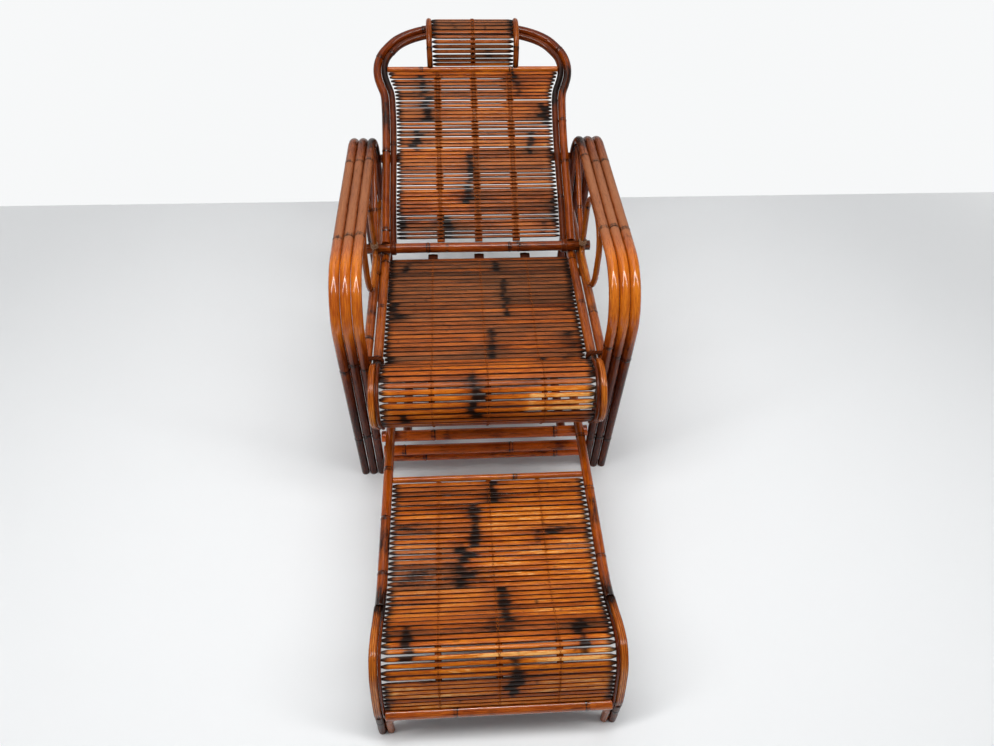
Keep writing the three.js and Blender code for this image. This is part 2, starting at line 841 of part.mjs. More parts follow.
function apronPoints() {
  const footX = footLegX - footLegRadius - sideGap - apronRadius;
  const top = footFrontRailZ - footFrontRailRadius - gap - apronRadius;
  const shoulderX = footX - apronShoulder;
  const shoulderZ = top - apronShoulder;
  const points = [new THREE.Vector3(footX, footLegY, 0)];
  for (let i = 0; i <= apronSteps; i++) {
    const angle = radians((rightAngle * i) / apronSteps);
    const x = shoulderX + apronShoulder * Math.cos(angle);
    points.push(new THREE.Vector3(x, footLegY, shoulderZ + apronShoulder * Math.sin(angle)));
  }
  const other = points.map((p) => new THREE.Vector3(-p.x, p.y, p.z)).reverse();
  return [...points, ...other];
}

function addFootrestCrossPieces() {
  const half = footInnerFace - gap;
  const topBar = crossPole(half, footTopBarY, footRailZ, footTopBarRadius, caneSides);
  const crossBar = crossPole(
    footCrossBarHalf, footCrossBarY, footCrossBarZ, footCrossBarRadius, caneSides,
  );
  const frontRail = crossPole(half, footFrontRailY, footFrontRailZ, footFrontRailRadius);
  add("footrest_top_bar", topBar, darkBamboo);
  add("footrest_cross_bar", crossBar, darkBamboo);
  add("footrest_front_rail", frontRail, darkBamboo);
  add("footrest_apron_pole", pole(apronPoints(), apronRadius, caneSides), poleBamboo);
}

addArms();
addSideRails();
addLoops();
addBraces();
addSeatRails();
addSeatSlats();
addCrossPieces();
addNeckBindings();
addBackPoles();
addBackSlats();
addHeadrest();
addRearTopRail();
addFootrestRails();
addFootrestSlats();
addFootrestCrossPieces();

// The origin is the middle of the underside of the whole chair's bounding box.
const bounds = new THREE.Box3().setFromObject(group, true);
const middle = bounds.getCenter(new THREE.Vector3());
for (const mesh of group.children) {
  mesh.geometry.translate(-middle.x, -middle.y, -bounds.min.z);
}

export default group;
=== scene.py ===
import math
import bpy
import numpy as np
from mathutils import Matrix, Vector


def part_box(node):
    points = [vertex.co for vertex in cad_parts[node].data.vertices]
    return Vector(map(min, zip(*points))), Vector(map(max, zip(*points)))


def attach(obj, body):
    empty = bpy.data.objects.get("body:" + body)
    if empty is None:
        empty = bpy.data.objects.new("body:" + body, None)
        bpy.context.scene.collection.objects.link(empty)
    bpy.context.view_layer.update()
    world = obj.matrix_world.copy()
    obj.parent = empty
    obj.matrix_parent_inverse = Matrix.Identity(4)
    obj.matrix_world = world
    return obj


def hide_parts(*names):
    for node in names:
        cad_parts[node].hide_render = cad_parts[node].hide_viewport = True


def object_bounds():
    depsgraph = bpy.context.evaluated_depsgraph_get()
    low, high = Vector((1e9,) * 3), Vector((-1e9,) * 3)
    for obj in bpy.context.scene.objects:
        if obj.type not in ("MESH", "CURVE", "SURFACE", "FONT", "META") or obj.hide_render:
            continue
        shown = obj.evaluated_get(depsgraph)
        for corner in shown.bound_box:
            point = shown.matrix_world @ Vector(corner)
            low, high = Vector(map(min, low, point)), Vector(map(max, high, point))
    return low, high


# Bamboo folding recliner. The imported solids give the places; every pole, slat and lashing is made
# again here with its own nodes, scorch marks and grain. Metres, and the same frame as the solids.

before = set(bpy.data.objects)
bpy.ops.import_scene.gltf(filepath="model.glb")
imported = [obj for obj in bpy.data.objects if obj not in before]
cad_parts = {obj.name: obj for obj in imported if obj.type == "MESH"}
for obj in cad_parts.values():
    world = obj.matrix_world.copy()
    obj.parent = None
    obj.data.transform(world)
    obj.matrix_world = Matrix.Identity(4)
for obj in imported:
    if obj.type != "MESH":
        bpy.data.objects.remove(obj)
cad_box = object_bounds()
random = np.random.default_rng(11)

MM = 0.001
PERCENT = 0.01
HALF_TURN = 180
RIGHT_ANGLE = 90
CIRCLE = 2 * math.pi
SIDES = {"left": -1, "right": 1}


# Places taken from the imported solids

def middle(node):
    low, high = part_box(node)
    return (low + high) / 2


AXLE_LINE_Y = 350 * MM
ARM_SPARE = 0.2 * MM
axle = middle("axle_rail")
seat_height = middle("side_rail_left").z
arm_x = {which: middle("arm_pole_" + which + "_right").x for which in ("inner", "middle", "outer")}
arm_radius = (arm_x["middle"] - arm_x["inner"]) / 2 - ARM_SPARE
shift_y = axle.y - AXLE_LINE_Y


def chair(y, z):
    """A point of the chair's side drawing, which has the axle at its own place, in the part's frame."""
    return np.array([y + shift_y, z])


# Lines

MERGE = 0.03 * MM


def between(t, start, end, a, b):
    """The point at t on a line that is at a for start, and at b for end."""
    return ((end - t) * a + (t - start) * b) / (end - start)


def smooth(points, steps=6):
    """A centripetal Catmull-Rom line through the points."""
    kept = [np.array(points[0], float)]
    for p in points[1:]:
        if np.linalg.norm(p - kept[-1]) > MERGE:
            kept.append(np.array(p, float))
    pts = [2 * kept[0] - kept[1]] + kept + [2 * kept[-1] - kept[-2]]
    out = []
    for a, b, c, d in zip(pts, pts[1:], pts[2:], pts[3:]):
        gaps = [math.sqrt(np.linalg.norm(q - p)) for p, q in ((a, b), (b, c), (c, d))]
        t0, t1, t2, t3 = np.cumsum([0] + gaps)
        for t in np.linspace(t1, t2, steps, endpoint=False):
            ab, bc, cd = between(t, t0, t1, a, b), between(t, t1, t2, b, c), between(t, t2, t3, c, d)
            abc, bcd = between(t, t0, t2, ab, bc), between(t, t1, t3, bc, cd)
            out.append(between(t, t1, t2, abc, bcd))
    return out + [kept[-1]]


class Line:
    """A line measured along its length."""

    def __init__(self, points):
        self.points = np.array(points, float)
        steps = np.linalg.norm(np.diff(self.points, axis=0), axis=1)
        self.marks = np.concatenate([[0], np.cumsum(steps)])
        self.length = self.marks[-1]

    def at(self, distance):
        return np.stack([np.interp(distance, self.marks, c) for c in self.points.T], -1)

    def direction(self, distance, reach=1.5 * MM):
        ahead = self.at(np.minimum(distance + reach, self.length))
        behind = self.at(np.maximum(distance - reach, 0))
        d = ahead - behind
        return d / np.linalg.norm(d, axis=-1, keepdims=True)

    def places(self, step):
        return np.linspace(0, self.length, max(int(self.length / step), 1) + 1)


def across(points, x):
    """Side points (y, z) set out at a place across the chair."""
    return [np.array([x, p[0], p[1]]) for p in points]


def on_circle(count, whole=False):
    """Turns spread evenly round a circle; whole also has the last one, back at the start."""
    return np.linspace(0, CIRCLE, count, endpoint=whole)


# Side drawing

ARM_HEIGHT = 619 * MM
FRONT_BEND = dict(radius=120 * MM, y=60 * MM, lean=2.9)
REAR_BEND = dict(radius=100 * MM, y=489 * MM, splay=5.1)
LOOP = dict(radius=7 * MM, front=147 * MM, back=331 * MM, corner=20 * MM, foot=235 * MM)
LOOP_TOP_SHARE = 0.38
LOOP_FOOT_SHARE = 0.44
RAIL_RADIUS = 11 * MM
GAP = 0.3 * MM
BRACE_SHARES = [(0, 0), (0.376, 0.301), (0.692, 0.679), (1, 1)]
BRACE = dict(radius=6.5 * MM, rise=33.2 * MM, gap=0.5 * MM, end_gap=1.9 * MM, end=48)
ROLL = dict(radius=63 * MM, y=-105 * MM, drop=23 * MM, start=40, end=222)
ROLL_TAIL = (31.8 * MM, -44.8 * MM)
NECK = dict(radius=14 * MM, y=-35.5 * MM)
SEAT_BACK_Y = 372 * MM
SEAT_THICK_Y = -50 * MM
BAND_DEPTH = 14 * MM
SEAT_BAND = dict(x=242.35 * MM, width=14.7 * MM, layers=2)
SEAT_STRIP = dict(x=230.5 * MM, width=8.4 * MM, layers=1)


def arc(y, z, radius, from_deg, to_deg, steps=24):
    turns = np.radians(np.linspace(from_deg, to_deg, steps + 1))
    return [chair(y + radius * math.cos(t), z + radius * math.sin(t)) for t in turns]


def arm_line():
    front_radius, rear_radius = FRONT_BEND["radius"], REAR_BEND["radius"]
    front = arc(FRONT_BEND["y"], ARM_HEIGHT - front_radius, front_radius,
                HALF_TURN + FRONT_BEND["lean"], RIGHT_ANGLE)
    rear = arc(REAR_BEND["y"], ARM_HEIGHT - rear_radius, rear_radius, RIGHT_ANGLE, REAR_BEND["splay"])
    front_foot = front[0][0] + front[0][1] * math.tan(math.radians(FRONT_BEND["lean"]))
    rear_foot = rear[-1][0] + rear[-1][1] * math.tan(math.radians(REAR_BEND["splay"]))
    return [np.array([front_foot, 0])] + front + rear + [np.array([rear_foot, 0])]


def loop_line():
    low = seat_height + RAIL_RADIUS + GAP + LOOP["radius"]
    top = ARM_HEIGHT - RAIL_RADIUS - GAP - LOOP["radius"]
    front, back, corner = LOOP["front"], LOOP["back"], LOOP["corner"]
    top_radius = (back - front) * LOOP_TOP_SHARE
    foot_radius = (back - front) * LOOP_FOOT_SHARE
    start = [chair((back + front) / 2, top)]
    return (
        start
        + arc(back - top_radius, top - top_radius, top_radius, RIGHT_ANGLE, 0)
        + arc(back - corner, low + corner, corner, 0, -RIGHT_ANGLE, 8)
        + [chair(LOOP["foot"], low)]
        + arc(front + foot_radius, low + foot_radius, foot_radius, -RIGHT_ANGLE, -HALF_TURN)
        + arc(front + top_radius, top - top_radius, top_radius, HALF_TURN, RIGHT_ANGLE)
        + start
    )


def from_shares(shares, start, end):
    return [np.array([start[0] + (end[0] - start[0]) * a, start[1] + (end[1] - start[1]) * b])
            for a, b in shares]


def brace_line():
    reach = REAR_BEND["radius"] - RAIL_RADIUS - BRACE["end_gap"]
    end = arc(REAR_BEND["y"], ARM_HEIGHT - REAR_BEND["radius"], reach, BRACE["end"], 0, 1)[0]
    foot = chair(LOOP["back"] + LOOP["radius"] + BRACE["radius"] + BRACE["gap"],
                 seat_height + RAIL_RADIUS + BRACE["rise"])
    return smooth(from_shares(BRACE_SHARES, foot, end))


def seat_scroll():
    scroll = arc(ROLL["y"], seat_height - ROLL["drop"], ROLL["radius"], ROLL["end"], ROLL["start"], 40)
    return [scroll[0] + np.array(ROLL_TAIL)] + scroll


def seat_neck():
    return arc(NECK["y"], seat_height + NECK["radius"], NECK["radius"],
               HALF_TURN + ROLL["start"], 3 * RIGHT_ANGLE, 10)


# Back drawing: x across, s up the back from the axle, h off its face

BACK_TILT = math.radians(31)
OUTER_RADIUS = 10.5 * MM
INNER_RADIUS = 8.25 * MM
OUTER_START = 13.5 * MM
INNER_START = 14.5 * MM
INNER_INSET = 2 * OUTER_RADIUS + GAP + INNER_RADIUS
ARCH_HALF = 266.5 * MM
ARCH_LENGTH = 654 * MM
ARCH_SHARES = [
    (0.9231, 0.183), (0.9174, 0.321), (0.9137, 0.474), (0.9193, 0.604), (0.9306, 0.661), (0.9606, 0.696),
    (0.9887, 0.734), (1, 0.775), (0.9887, 0.815), (0.9512, 0.856), (0.8893, 0.89), (0.8068, 0.924),
    (0.7017, 0.95), (0.5816, 0.969), (0.4428, 0.983), (0.2251, 0.995), (0, 1),
]
TOP_BAR_S = 509 * MM
TOP_BAR_RADIUS = 7.25 * MM
HOOP = dict(radius=7.5 * MM, x=114.5 * MM, rise=65 * MM, foot=51, foot_gap=0.8 * MM, top_gap=0.6 * MM)
HOOP_SHARES = [
    (0.037, 0.283), (0.09, 0.55), (0.23, 0.817), (0.435, 0.983), (0.64, 1),
    (0.829, 0.85), (0.92, 0.667), (0.973, 0.433),
]


def on_back(x, s, h):
    """Puts a point of the tilted back into the part's frame."""
    sin, cos = math.sin(BACK_TILT), math.cos(BACK_TILT)
    return np.array([x, axle.y + s * cos - h * sin, axle.z + s * sin + h * cos])


def arch_inside(start, distance):
    """The outline of the back moved inwards, as (x, s) points from the left foot to the right one."""
    right = [(x * ARCH_HALF, s * ARCH_LENGTH) for x, s in ARCH_SHARES]
    edge = [(right[0][0], start)] + right
    edge = edge + [(-x, s) for x, s in reversed(edge[:-1])]
    fine = np.array(smooth([np.array(p) for p in edge], 8))
    along = np.gradient(fine, axis=0)
    along /= np.linalg.norm(along, axis=1)[:, None]
    return fine + distance * np.stack([-along[:, 1], along[:, 0]], 1)


inner_face = arch_inside(INNER_START, INNER_INSET + INNER_RADIUS)
back_face = on_back(0, 0, 1) - on_back(0, 0, 0)


def inside_half(s):
    """Half the width between the inner poles at a place up the back."""
    side = inner_face[: len(inner_face) // 2]
    below_top = side[side[:, 1] < TOP_BAR_S + TOP_BAR_RADIUS]
    return float(np.interp(s, below_top[:, 1], below_top[:, 0]))


def hoop_line():
    reach = TOP_BAR_RADIUS + HOOP["foot_gap"]
    angle = math.radians(HOOP["foot"])
    foot = np.array([TOP_BAR_S + reach * math.cos(angle), reach * math.sin(angle)])
    line = arch_inside(OUTER_START, OUTER_RADIUS)
    top_part = line[line[:, 1] > TOP_BAR_S]
    arch_s = float(np.interp(-HOOP["x"], -top_part[:, 0], top_part[:, 1]))
    top = np.array([arch_s, OUTER_RADIUS + HOOP["top_gap"]])
    bow = from_shares(HOOP_SHARES, np.array([foot[0], 0]), np.array([top[0], HOOP["rise"]]))
    return smooth([foot] + bow + [top])


# Footrest drawing

FOOT_RAIL_X = 226.5 * MM
FOOT_BACK_Y = 55 * MM
FOOT_NECK_Y = -500 * MM
FOOT_LEG_Y = -665 * MM
FOOT_LEG_TOP = 86 * MM
FOOT_CREST = (-607 * MM, 226 * MM)
FOOT_FLAT_Y = -415 * MM
FOOT_RISE_SHARES = [(0, 0), (0.01, 0.13), (0.09, 0.32), (0.23, 0.56), (0.48, 0.83), (1, 1)]
FOOT_FALL_SHARES = [(0.208, 0.122), (0.401, 0.478), (0.583, 0.762), (0.792, 0.955), (1, 1)]
FOOT_INNER_FACE = FOOT_RAIL_X - RAIL_RADIUS
FOOT_STRIP = dict(x=FOOT_INNER_FACE + 3.25 * MM, width=6.5 * MM, layers=1)
FOOT_BAND = dict(x=FOOT_INNER_FACE + 6.5 * MM + GAP + 8 * MM, width=16 * MM, layers=3)
foot_height = middle("footrest_top_bar").z


def foot_roll():
    low = chair(FOOT_LEG_Y, FOOT_LEG_TOP + GAP)
    crest = chair(*FOOT_CREST)
    flat = chair(FOOT_FLAT_Y, foot_height)
    return smooth(from_shares(FOOT_RISE_SHARES, low, crest) + from_shares(FOOT_FALL_SHARES, crest, flat))


# Meshes. A shape is its points, its faces, and for each point its grain, which is the place in the
# wood, and its look, which is tone, wear and scorch.

def make_mesh(name, shapes, material):
    points, grain, look = (np.vstack([shape[part] for shape in shapes]) for part in (0, 2, 3))
    faces = []
    start = 0
    for shape in shapes:
        faces += [tuple(start + i for i in face) for face in shape[1]]
        start += len(shape[0])
    mesh = bpy.data.meshes.new(name)
    mesh.from_pydata(np.clip(points, *[np.array(corner) for corner in cad_box]), [], faces)
    mesh.polygons.foreach_set("use_smooth", [len(face) == 4 for face in faces])
    for label, values in (("grain", grain), ("look", look)):
        attribute = mesh.attributes.new(label, "FLOAT_VECTOR", "POINT")
        attribute.data.foreach_set("vector", values.astype(np.float32).ravel())
    mesh.materials.append(material)
    mesh.update()
    piece = bpy.data.objects.new(name, mesh)
    bpy.context.scene.collection.objects.link(piece)
    return piece


def dress(name, body, node, slot, skin, *shapes):
    """Makes a piece that rides on its body, and stands for its node if it has one."""
    piece = make_mesh(name, shapes, skin)
    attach(piece, body)
    if node:
        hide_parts(node)


BAND_CORNER = 3.2 * MM
BAND_GROOVE = 0.7 * MM
BAND_TURN = 70
BAND_BULGE = 0.9
BAND_STEPS = 6


def round_section(radius, sides):
    turns = on_circle(sides)
    return np.stack([radius * np.cos(turns), radius * np.sin(turns)], 1)


def band_section(band):
    """A flat band with rounded edges and shallow grooves between its layers."""
    half, deep = band["width"] / 2 - BAND_CORNER, BAND_DEPTH / 2
    us = np.linspace(-half, half, BAND_STEPS * band["layers"] + 1)
    wave = BAND_GROOVE * np.abs(np.sin(np.linspace(0, band["layers"] * math.pi, len(us))))
    outer = [(u, deep - BAND_GROOVE + w) for u, w in zip(us, wave)]
    inner = [(u, -v) for u, v in reversed(outer)]
    rise = (deep - BAND_CORNER) / math.sin(math.radians(BAND_TURN)) + BAND_BULGE * BAND_CORNER
    end = [(half + BAND_CORNER * math.cos(t), rise * math.sin(t))
           for t in np.radians(np.linspace(BAND_TURN, -BAND_TURN, BAND_STEPS))]
    other = [(-u, v) for u, v in reversed(end)]
    return np.array(outer + end + inner + other)[::-1]


def sweep_frames(points, first_normal, closed):
    """Normals carried along a path without twist, and the directions square to them."""
    tangents = np.gradient(points, axis=0)
    if closed:
        tangents[0] = tangents[-1] = points[1] - points[-2]
    tangents /= np.linalg.norm(tangents, axis=1)[:, None]
    normal = np.array(first_normal, float)
    normals = []
    for tangent in tangents:
        normal = normal - tangent * normal.dot(tangent)
        normal /= np.linalg.norm(normal)
        normals.append(normal)
    return np.array(normals), np.cross(tangents, normals)


def ring_faces(rows, count, ends=True):
    """Faces between rings of points that follow one another, and over the first and last ring."""
    last = (rows - 1) * count
    faces = [(a + j, a + (j + 1) % count, a + count + (j + 1) % count, a + count + j)
             for a in range(0, last, count) for j in range(count)]
    if ends:
        faces += [tuple(reversed(range(count))), tuple(range(last, last + count))]
    return faces


def layers(shape, *values):
    """Values for a grid of points, side by side."""
    return np.stack([np.broadcast_to(v, shape) for v in values], -1)


CAP_ROUND = 0.8 * MM
CAP_SHARE = 0.3
CAP_LOOK = (0.5, 1, 1)
SWEEP_STEP = 2.5 * MM


def with_caps(points, rings, grain, look):
    """Adds a smaller, darker ring within each end."""
    inset = np.minimum(CAP_ROUND / np.linalg.norm(rings, axis=-1, keepdims=True), CAP_SHARE)
    pairs = (points, points), (rings, rings * (1 - inset)), (grain, grain), (look, look * CAP_LOOK)
    return (np.concatenate([end[:1], whole, end[-1:]]) for whole, end in pairs)


def sweep(path, section, look_at, scale_at=None, normal=(1, 0, 0), step=SWEEP_STEP, floor=False,
          closed=False):
    """Sweeps a section along a path. look_at(places, ring angles) gives tone, wear and scorch."""
    line = Line(path)
    places = line.places(step)
    points = line.at(places)
    normals, sideways = sweep_frames(points, normal, closed)
    scale = scale_at(places) if scale_at else np.ones(len(places))
    seed = random.uniform(0, 50)
    u, v = section.T
    rings = scale[:, None, None] * (u[:, None] * normals[:, None] + v[:, None] * sideways[:, None])
    shape = rings.shape[:2]
    grain = layers(shape, places[:, None] + seed, u + seed, v)
    look = layers(shape, *look_at(places[:, None], np.arctan2(v, u)[None]))
    if not closed:
        points, rings, grain, look = with_caps(points, rings, grain, look)
    verts = (points[:, None] + rings).reshape(-1, 3)
    if floor:
        verts[:, 2] = np.maximum(verts[:, 2], 0)
    return verts, ring_faces(len(points), len(u), not closed), grain.reshape(-1, 3), look.reshape(-1, 3)


# Nodes and looks along a pole

NODE_WIDTH = 2.2 * MM
NODE_RISE = 0.07
NODE_GROOVE = 0.042
NODE_GROOVE_AT = 4.84 * MM
NODE_BURN = dict(half=9 * MM, strength=0.42)
NODE_LINE = dict(off=3.2 * MM, half=1.7 * MM, strength=0.85)
NODE_END = 20 * MM
NODE_FIRST = (0.3, 0.9)
NODE_SPREAD = (0.8, 1.15)
SMUDGE_HALF = (5, 22)
SMUDGE_FAINT = 0.12


def bell(places, centre, half):
    return np.exp(-((places - centre) / half) ** 2)


def node_scale(nodes):
    """Ring swellings at the nodes, with a fine groove beside each."""
    def scale(places):
        grown = np.ones(len(places))
        for node in nodes:
            grown += NODE_RISE * bell(places, node, NODE_WIDTH)
            grown -= NODE_GROOVE * bell(places, node + NODE_GROOVE_AT, NODE_WIDTH)
        return grown
    return scale


def node_look(nodes, tone, worn=0.0, burns=()):
    """Tone and wear with a scorch and two dark lines at each node; burns adds
    (place, half width, strength)."""
    marks = [(node, NODE_BURN["half"], NODE_BURN["strength"]) for node in nodes] + list(burns)

    def look(places, angles):
        burn = np.zeros_like(places)
        for place, half, amount in marks:
            burn = np.maximum(burn, amount * bell(places, place, half))
        for node in nodes:
            line = bell(np.abs(places - node), NODE_LINE["off"], NODE_LINE["half"])
            burn = np.maximum(burn, NODE_LINE["strength"] * line)
        base = tone(places) if callable(tone) else tone
        return base, worn(places, angles) if callable(worn) else worn, burn
    return look


def spaced_nodes(length, pitch):
    places = []
    place = random.uniform(*NODE_FIRST) * pitch
    while place < length - NODE_END:
        places.append(place)
        place += pitch * random.uniform(*NODE_SPREAD)
    return places


def smudge(length, strongest):
    """A faint scorch patch at a random place along a pole."""
    place, half = random.uniform(0, length), random.uniform(*SMUDGE_HALF) * MM
    return place, half, random.uniform(SMUDGE_FAINT, strongest)


def pole(path, radius, nodes, tone, burns=(), worn=0.0, sides=20, scale_at=None, **settings):
    """A round pole with its nodes and scorch marks."""
    return sweep(path, round_section(radius, sides), node_look(nodes, tone, worn, burns),
                 scale_at or node_scale(nodes), **settings)


# Materials

def node_tree(name):
    material = bpy.data.materials.new(name)
    material.use_nodes = True
    tree = material.node_tree
    tree.nodes.clear()
    return material, tree


def feed(tree, socket, value):
    """Sets an input, or links it if the value is another node's output."""
    if isinstance(value, bpy.types.NodeSocket):
        tree.links.new(value, socket)
    else:
        socket.default_value = value


def new_node(tree, kind, **settings):
    """A node with its settings; those named after an input, with _ for a space, are fed to it."""
    node = tree.nodes.new(kind)
    for key, value in settings.items():
        label = key.replace("_", " ")
        if label in node.inputs:
            feed(tree, node.inputs[label], value)
        else:
            setattr(node, key, value)
    return node


def noise(tree, vector, stretch, scale, detail, roughness):
    """Noise in a space stretched along the fibres."""
    mapping = new_node(tree, "ShaderNodeMapping", Vector=vector, Scale=stretch)
    texture = new_node(tree, "ShaderNodeTexNoise", Vector=mapping.outputs["Vector"], Scale=scale,
                       Detail=detail, Roughness=roughness)
    return texture.outputs["Fac"]


def math_node(tree, operation, a, b, clamp=False):
    node = new_node(tree, "ShaderNodeMath", operation=operation, use_clamp=clamp)
    feed(tree, node.inputs[0], a)
    feed(tree, node.inputs[1], b)
    return node.outputs[0]


def ramp(tree, fac, stops):
    node = new_node(tree, "ShaderNodeValToRGB", Fac=fac)
    elements = node.color_ramp.elements
    while len(elements) < len(stops):
        elements.new(0.5)
    for element, (place, colour) in zip(elements, stops):
        element.position = place
        element.color = (*colour, 1)
    return node.outputs["Color"]


def map_range(tree, value, low, high, to_low=0.0, to_high=1.0):
    node = new_node(tree, "ShaderNodeMapRange", interpolation_type="SMOOTHSTEP", Value=value,
                    From_Min=low, From_Max=high, To_Min=to_low, To_Max=to_high)
    return node.outputs["Result"]


def mix(tree, share, a, b):
    """The colour a, turned to the plain colour b by a share."""
    node = new_node(tree, "ShaderNodeMix", data_type="RGBA")
    for index, value in ((0, share), (6, a), (7, (*b, 1))):
        feed(tree, node.inputs[index], value)
    return node.outputs[2]


def mix_shader(tree, share, a, b):
    node = new_node(tree, "ShaderNodeMixShader")
    for socket, value in zip(node.inputs, (share, a, b)):
        feed(tree, socket, value)
    return node.outputs[0]


def finish_surface(tree, shader):
    new_node(tree, "ShaderNodeOutputMaterial", Surface=shader)


# Noises in the wood: stretch, scale, detail, roughness
FIBRES = ((5, 110, 110), 8.0, 3.0, 0.55)
CLOUDS = ((1, 4, 4), 9.0, 4.0, 0.55)
SPECKS = ((1, 2.6, 2.6), 160.0, 2.0, 0.55)
EDGES = ((1, 5, 5), 38.0, 5.0, 0.65)
FIBRE_BAND = (0.3, 0.7)
CLOUD_BAND = (0.25, 0.75)
FIBRE_TONE = 0.16
FIBRE_DULL = (-0.05, 0.08)
SPECK_SHARE = (0.62, 0.74, 0.0, 0.55)
RUB_CLOUDS = (0.2, 0.6, 0.6, 1.0)
RUB_FIBRES = (0.3, 0.6, 0.6, 1.0)
CHAR = (0.006, 0.003, 0.002)
CHAR_EDGE = 0.3
CHAR_SHARE = (0.1, 0.85, 0.0, 0.97)
CHAR_START = (0.02, 0.12)
GLOSS_TONES = (0.25, 0.85)
DARK_GLOSS = 0.3
RUBBED_GLOSS = 0.3
COAT_ROUGHNESS = 0.13
SPECULAR = 0.06
RELIEF = 0.4 * MM


def charred(tree, burn, edges):
    """How black the wood is: scorched, with ragged edges."""
    ragged = math_node(tree, "ADD", burn, map_range(tree, edges, *CLOUD_BAND, -CHAR_EDGE, CHAR_EDGE))
    share = map_range(tree, ragged, *CHAR_SHARE)
    return math_node(tree, "MULTIPLY", share, map_range(tree, burn, *CHAR_START), clamp=True)


def wood_skin(tree, colour, fibres, rub, gloss, roughness, bump):
    """A lacquered surface, which is duller where it is rubbed."""
    dull = map_range(tree, rub, 0.0, 1.0, *roughness)
    dull = math_node(tree, "ADD", dull, map_range(tree, fibres, *FIBRE_BAND, *FIBRE_DULL))
    gloss = math_node(tree, "MULTIPLY", gloss, map_range(tree, rub, 0.0, 1.0, 1.0, RUBBED_GLOSS))
    relief = new_node(tree, "ShaderNodeBump", Strength=bump, Distance=RELIEF, Height=fibres)
    return new_node(tree, "ShaderNodeBsdfPrincipled", Base_Color=colour, Roughness=dull, Coat_Weight=gloss,
                    Coat_Roughness=COAT_ROUGHNESS, Specular_IOR_Level=SPECULAR,
                    Normal=relief.outputs["Normal"])


def wood(name, stops, worn_colour, roughness, coat, bump, cloud):
    """Lacquered bamboo: a tone ramp, worn skin, scorch marks and fine fibres along the pole."""
    material, tree = node_tree(name)
    grain, look = (new_node(tree, "ShaderNodeAttribute", attribute_name=label).outputs["Vector"]
                   for label in ("grain", "look"))
    tone, worn, burn = new_node(tree, "ShaderNodeSeparateXYZ", Vector=look).outputs
    fibres, clouds, specks, edges = (noise(tree, grain, *kind) for kind in (FIBRES, CLOUDS, SPECKS, EDGES))
    shade = math_node(tree, "ADD", tone, map_range(tree, fibres, *FIBRE_BAND, -FIBRE_TONE, FIBRE_TONE))
    shade = math_node(tree, "ADD", shade, map_range(tree, clouds, *CLOUD_BAND, -cloud, cloud), clamp=True)
    rub = math_node(tree, "MULTIPLY", worn, map_range(tree, clouds, *RUB_CLOUDS))
    rub = math_node(tree, "MULTIPLY", rub, map_range(tree, fibres, *RUB_FIBRES), clamp=True)
    colour = mix(tree, rub, ramp(tree, shade, stops), worn_colour)
    colour = mix(tree, map_range(tree, specks, *SPECK_SHARE), colour, CHAR)
    colour = mix(tree, charred(tree, burn, edges), colour, CHAR)
    gloss = map_range(tree, tone, *GLOSS_TONES, coat * DARK_GLOSS, coat)
    shader = wood_skin(tree, colour, fibres, rub, gloss, roughness, bump)
    finish_surface(tree, shader.outputs[0])
    return material


# Each wood: colours by tone, rubbed colour, roughness whole and rubbed, coat, relief, clouds
pole_skin = wood("pole_bamboo", [
    (0.0, (0.02, 0.003, 0.001)), (0.35, (0.11, 0.014, 0.001)), (0.7, (0.36, 0.065, 0.003)),
    (1.0, (0.62, 0.17, 0.008))], (0.31, 0.118, 0.05), (0.2, 0.45), 1.0, 0.22, 0.13)
dark_skin = wood("dark_bamboo", [
    (0.0, (0.012, 0.003, 0.001)), (0.4, (0.07, 0.011, 0.0015)), (0.75, (0.23, 0.04, 0.003)),
    (1.0, (0.42, 0.095, 0.006))], (0.25, 0.085, 0.04), (0.28, 0.5), 0.7, 0.25, 0.15)
red_skin = wood("red_bamboo", [
    (0.0, (0.02, 0.003, 0.001)), (0.4, (0.13, 0.016, 0.001)), (0.75, (0.38, 0.056, 0.003)),
    (1.0, (0.66, 0.115, 0.005))], (0.31, 0.118, 0.05), (0.24, 0.45), 0.7, 0.22, 0.16)
# The pale top stop is what the painted glare rows on the seat roll reach, a painted highlight.
slat_skin = wood("split_bamboo", [
    (0.0, (0.02, 0.005, 0.0015)), (0.3, (0.13, 0.023, 0.002)), (0.6, (0.37, 0.072, 0.004)),
    (0.93, (0.64, 0.18, 0.009)), (1.0, (0.80, 0.42, 0.13))],
    (0.35, 0.14, 0.058), (0.32, 0.46), 0.28, 0.35, 0.16)
cane_skin = wood("laminated_cane", [
    (0.0, (0.045, 0.008, 0.0015)), (0.4, (0.18, 0.033, 0.003)), (0.75, (0.42, 0.1, 0.006)),
    (1.0, (0.66, 0.24, 0.025))], (0.32, 0.12, 0.05), (0.24, 0.45), 0.7, 0.3, 0.18)
twine_skin = wood("twine", [
    (0.0, (0.03, 0.006, 0.002)), (0.5, (0.17, 0.032, 0.004)), (1.0, (0.36, 0.085, 0.010))],
    (0.2, 0.08, 0.03), (0.5, 0.6), 0.0, 0.3, 0.15)
wrap_skin = wood("cane_wrap", [
    (0.0, (0.16, 0.07, 0.035)), (0.5, (0.45, 0.28, 0.16)), (1.0, (0.72, 0.58, 0.42))],
    (0.62, 0.5, 0.36), (0.45, 0.55), 0.1, 0.3, 0.15)


# Poles of the frame

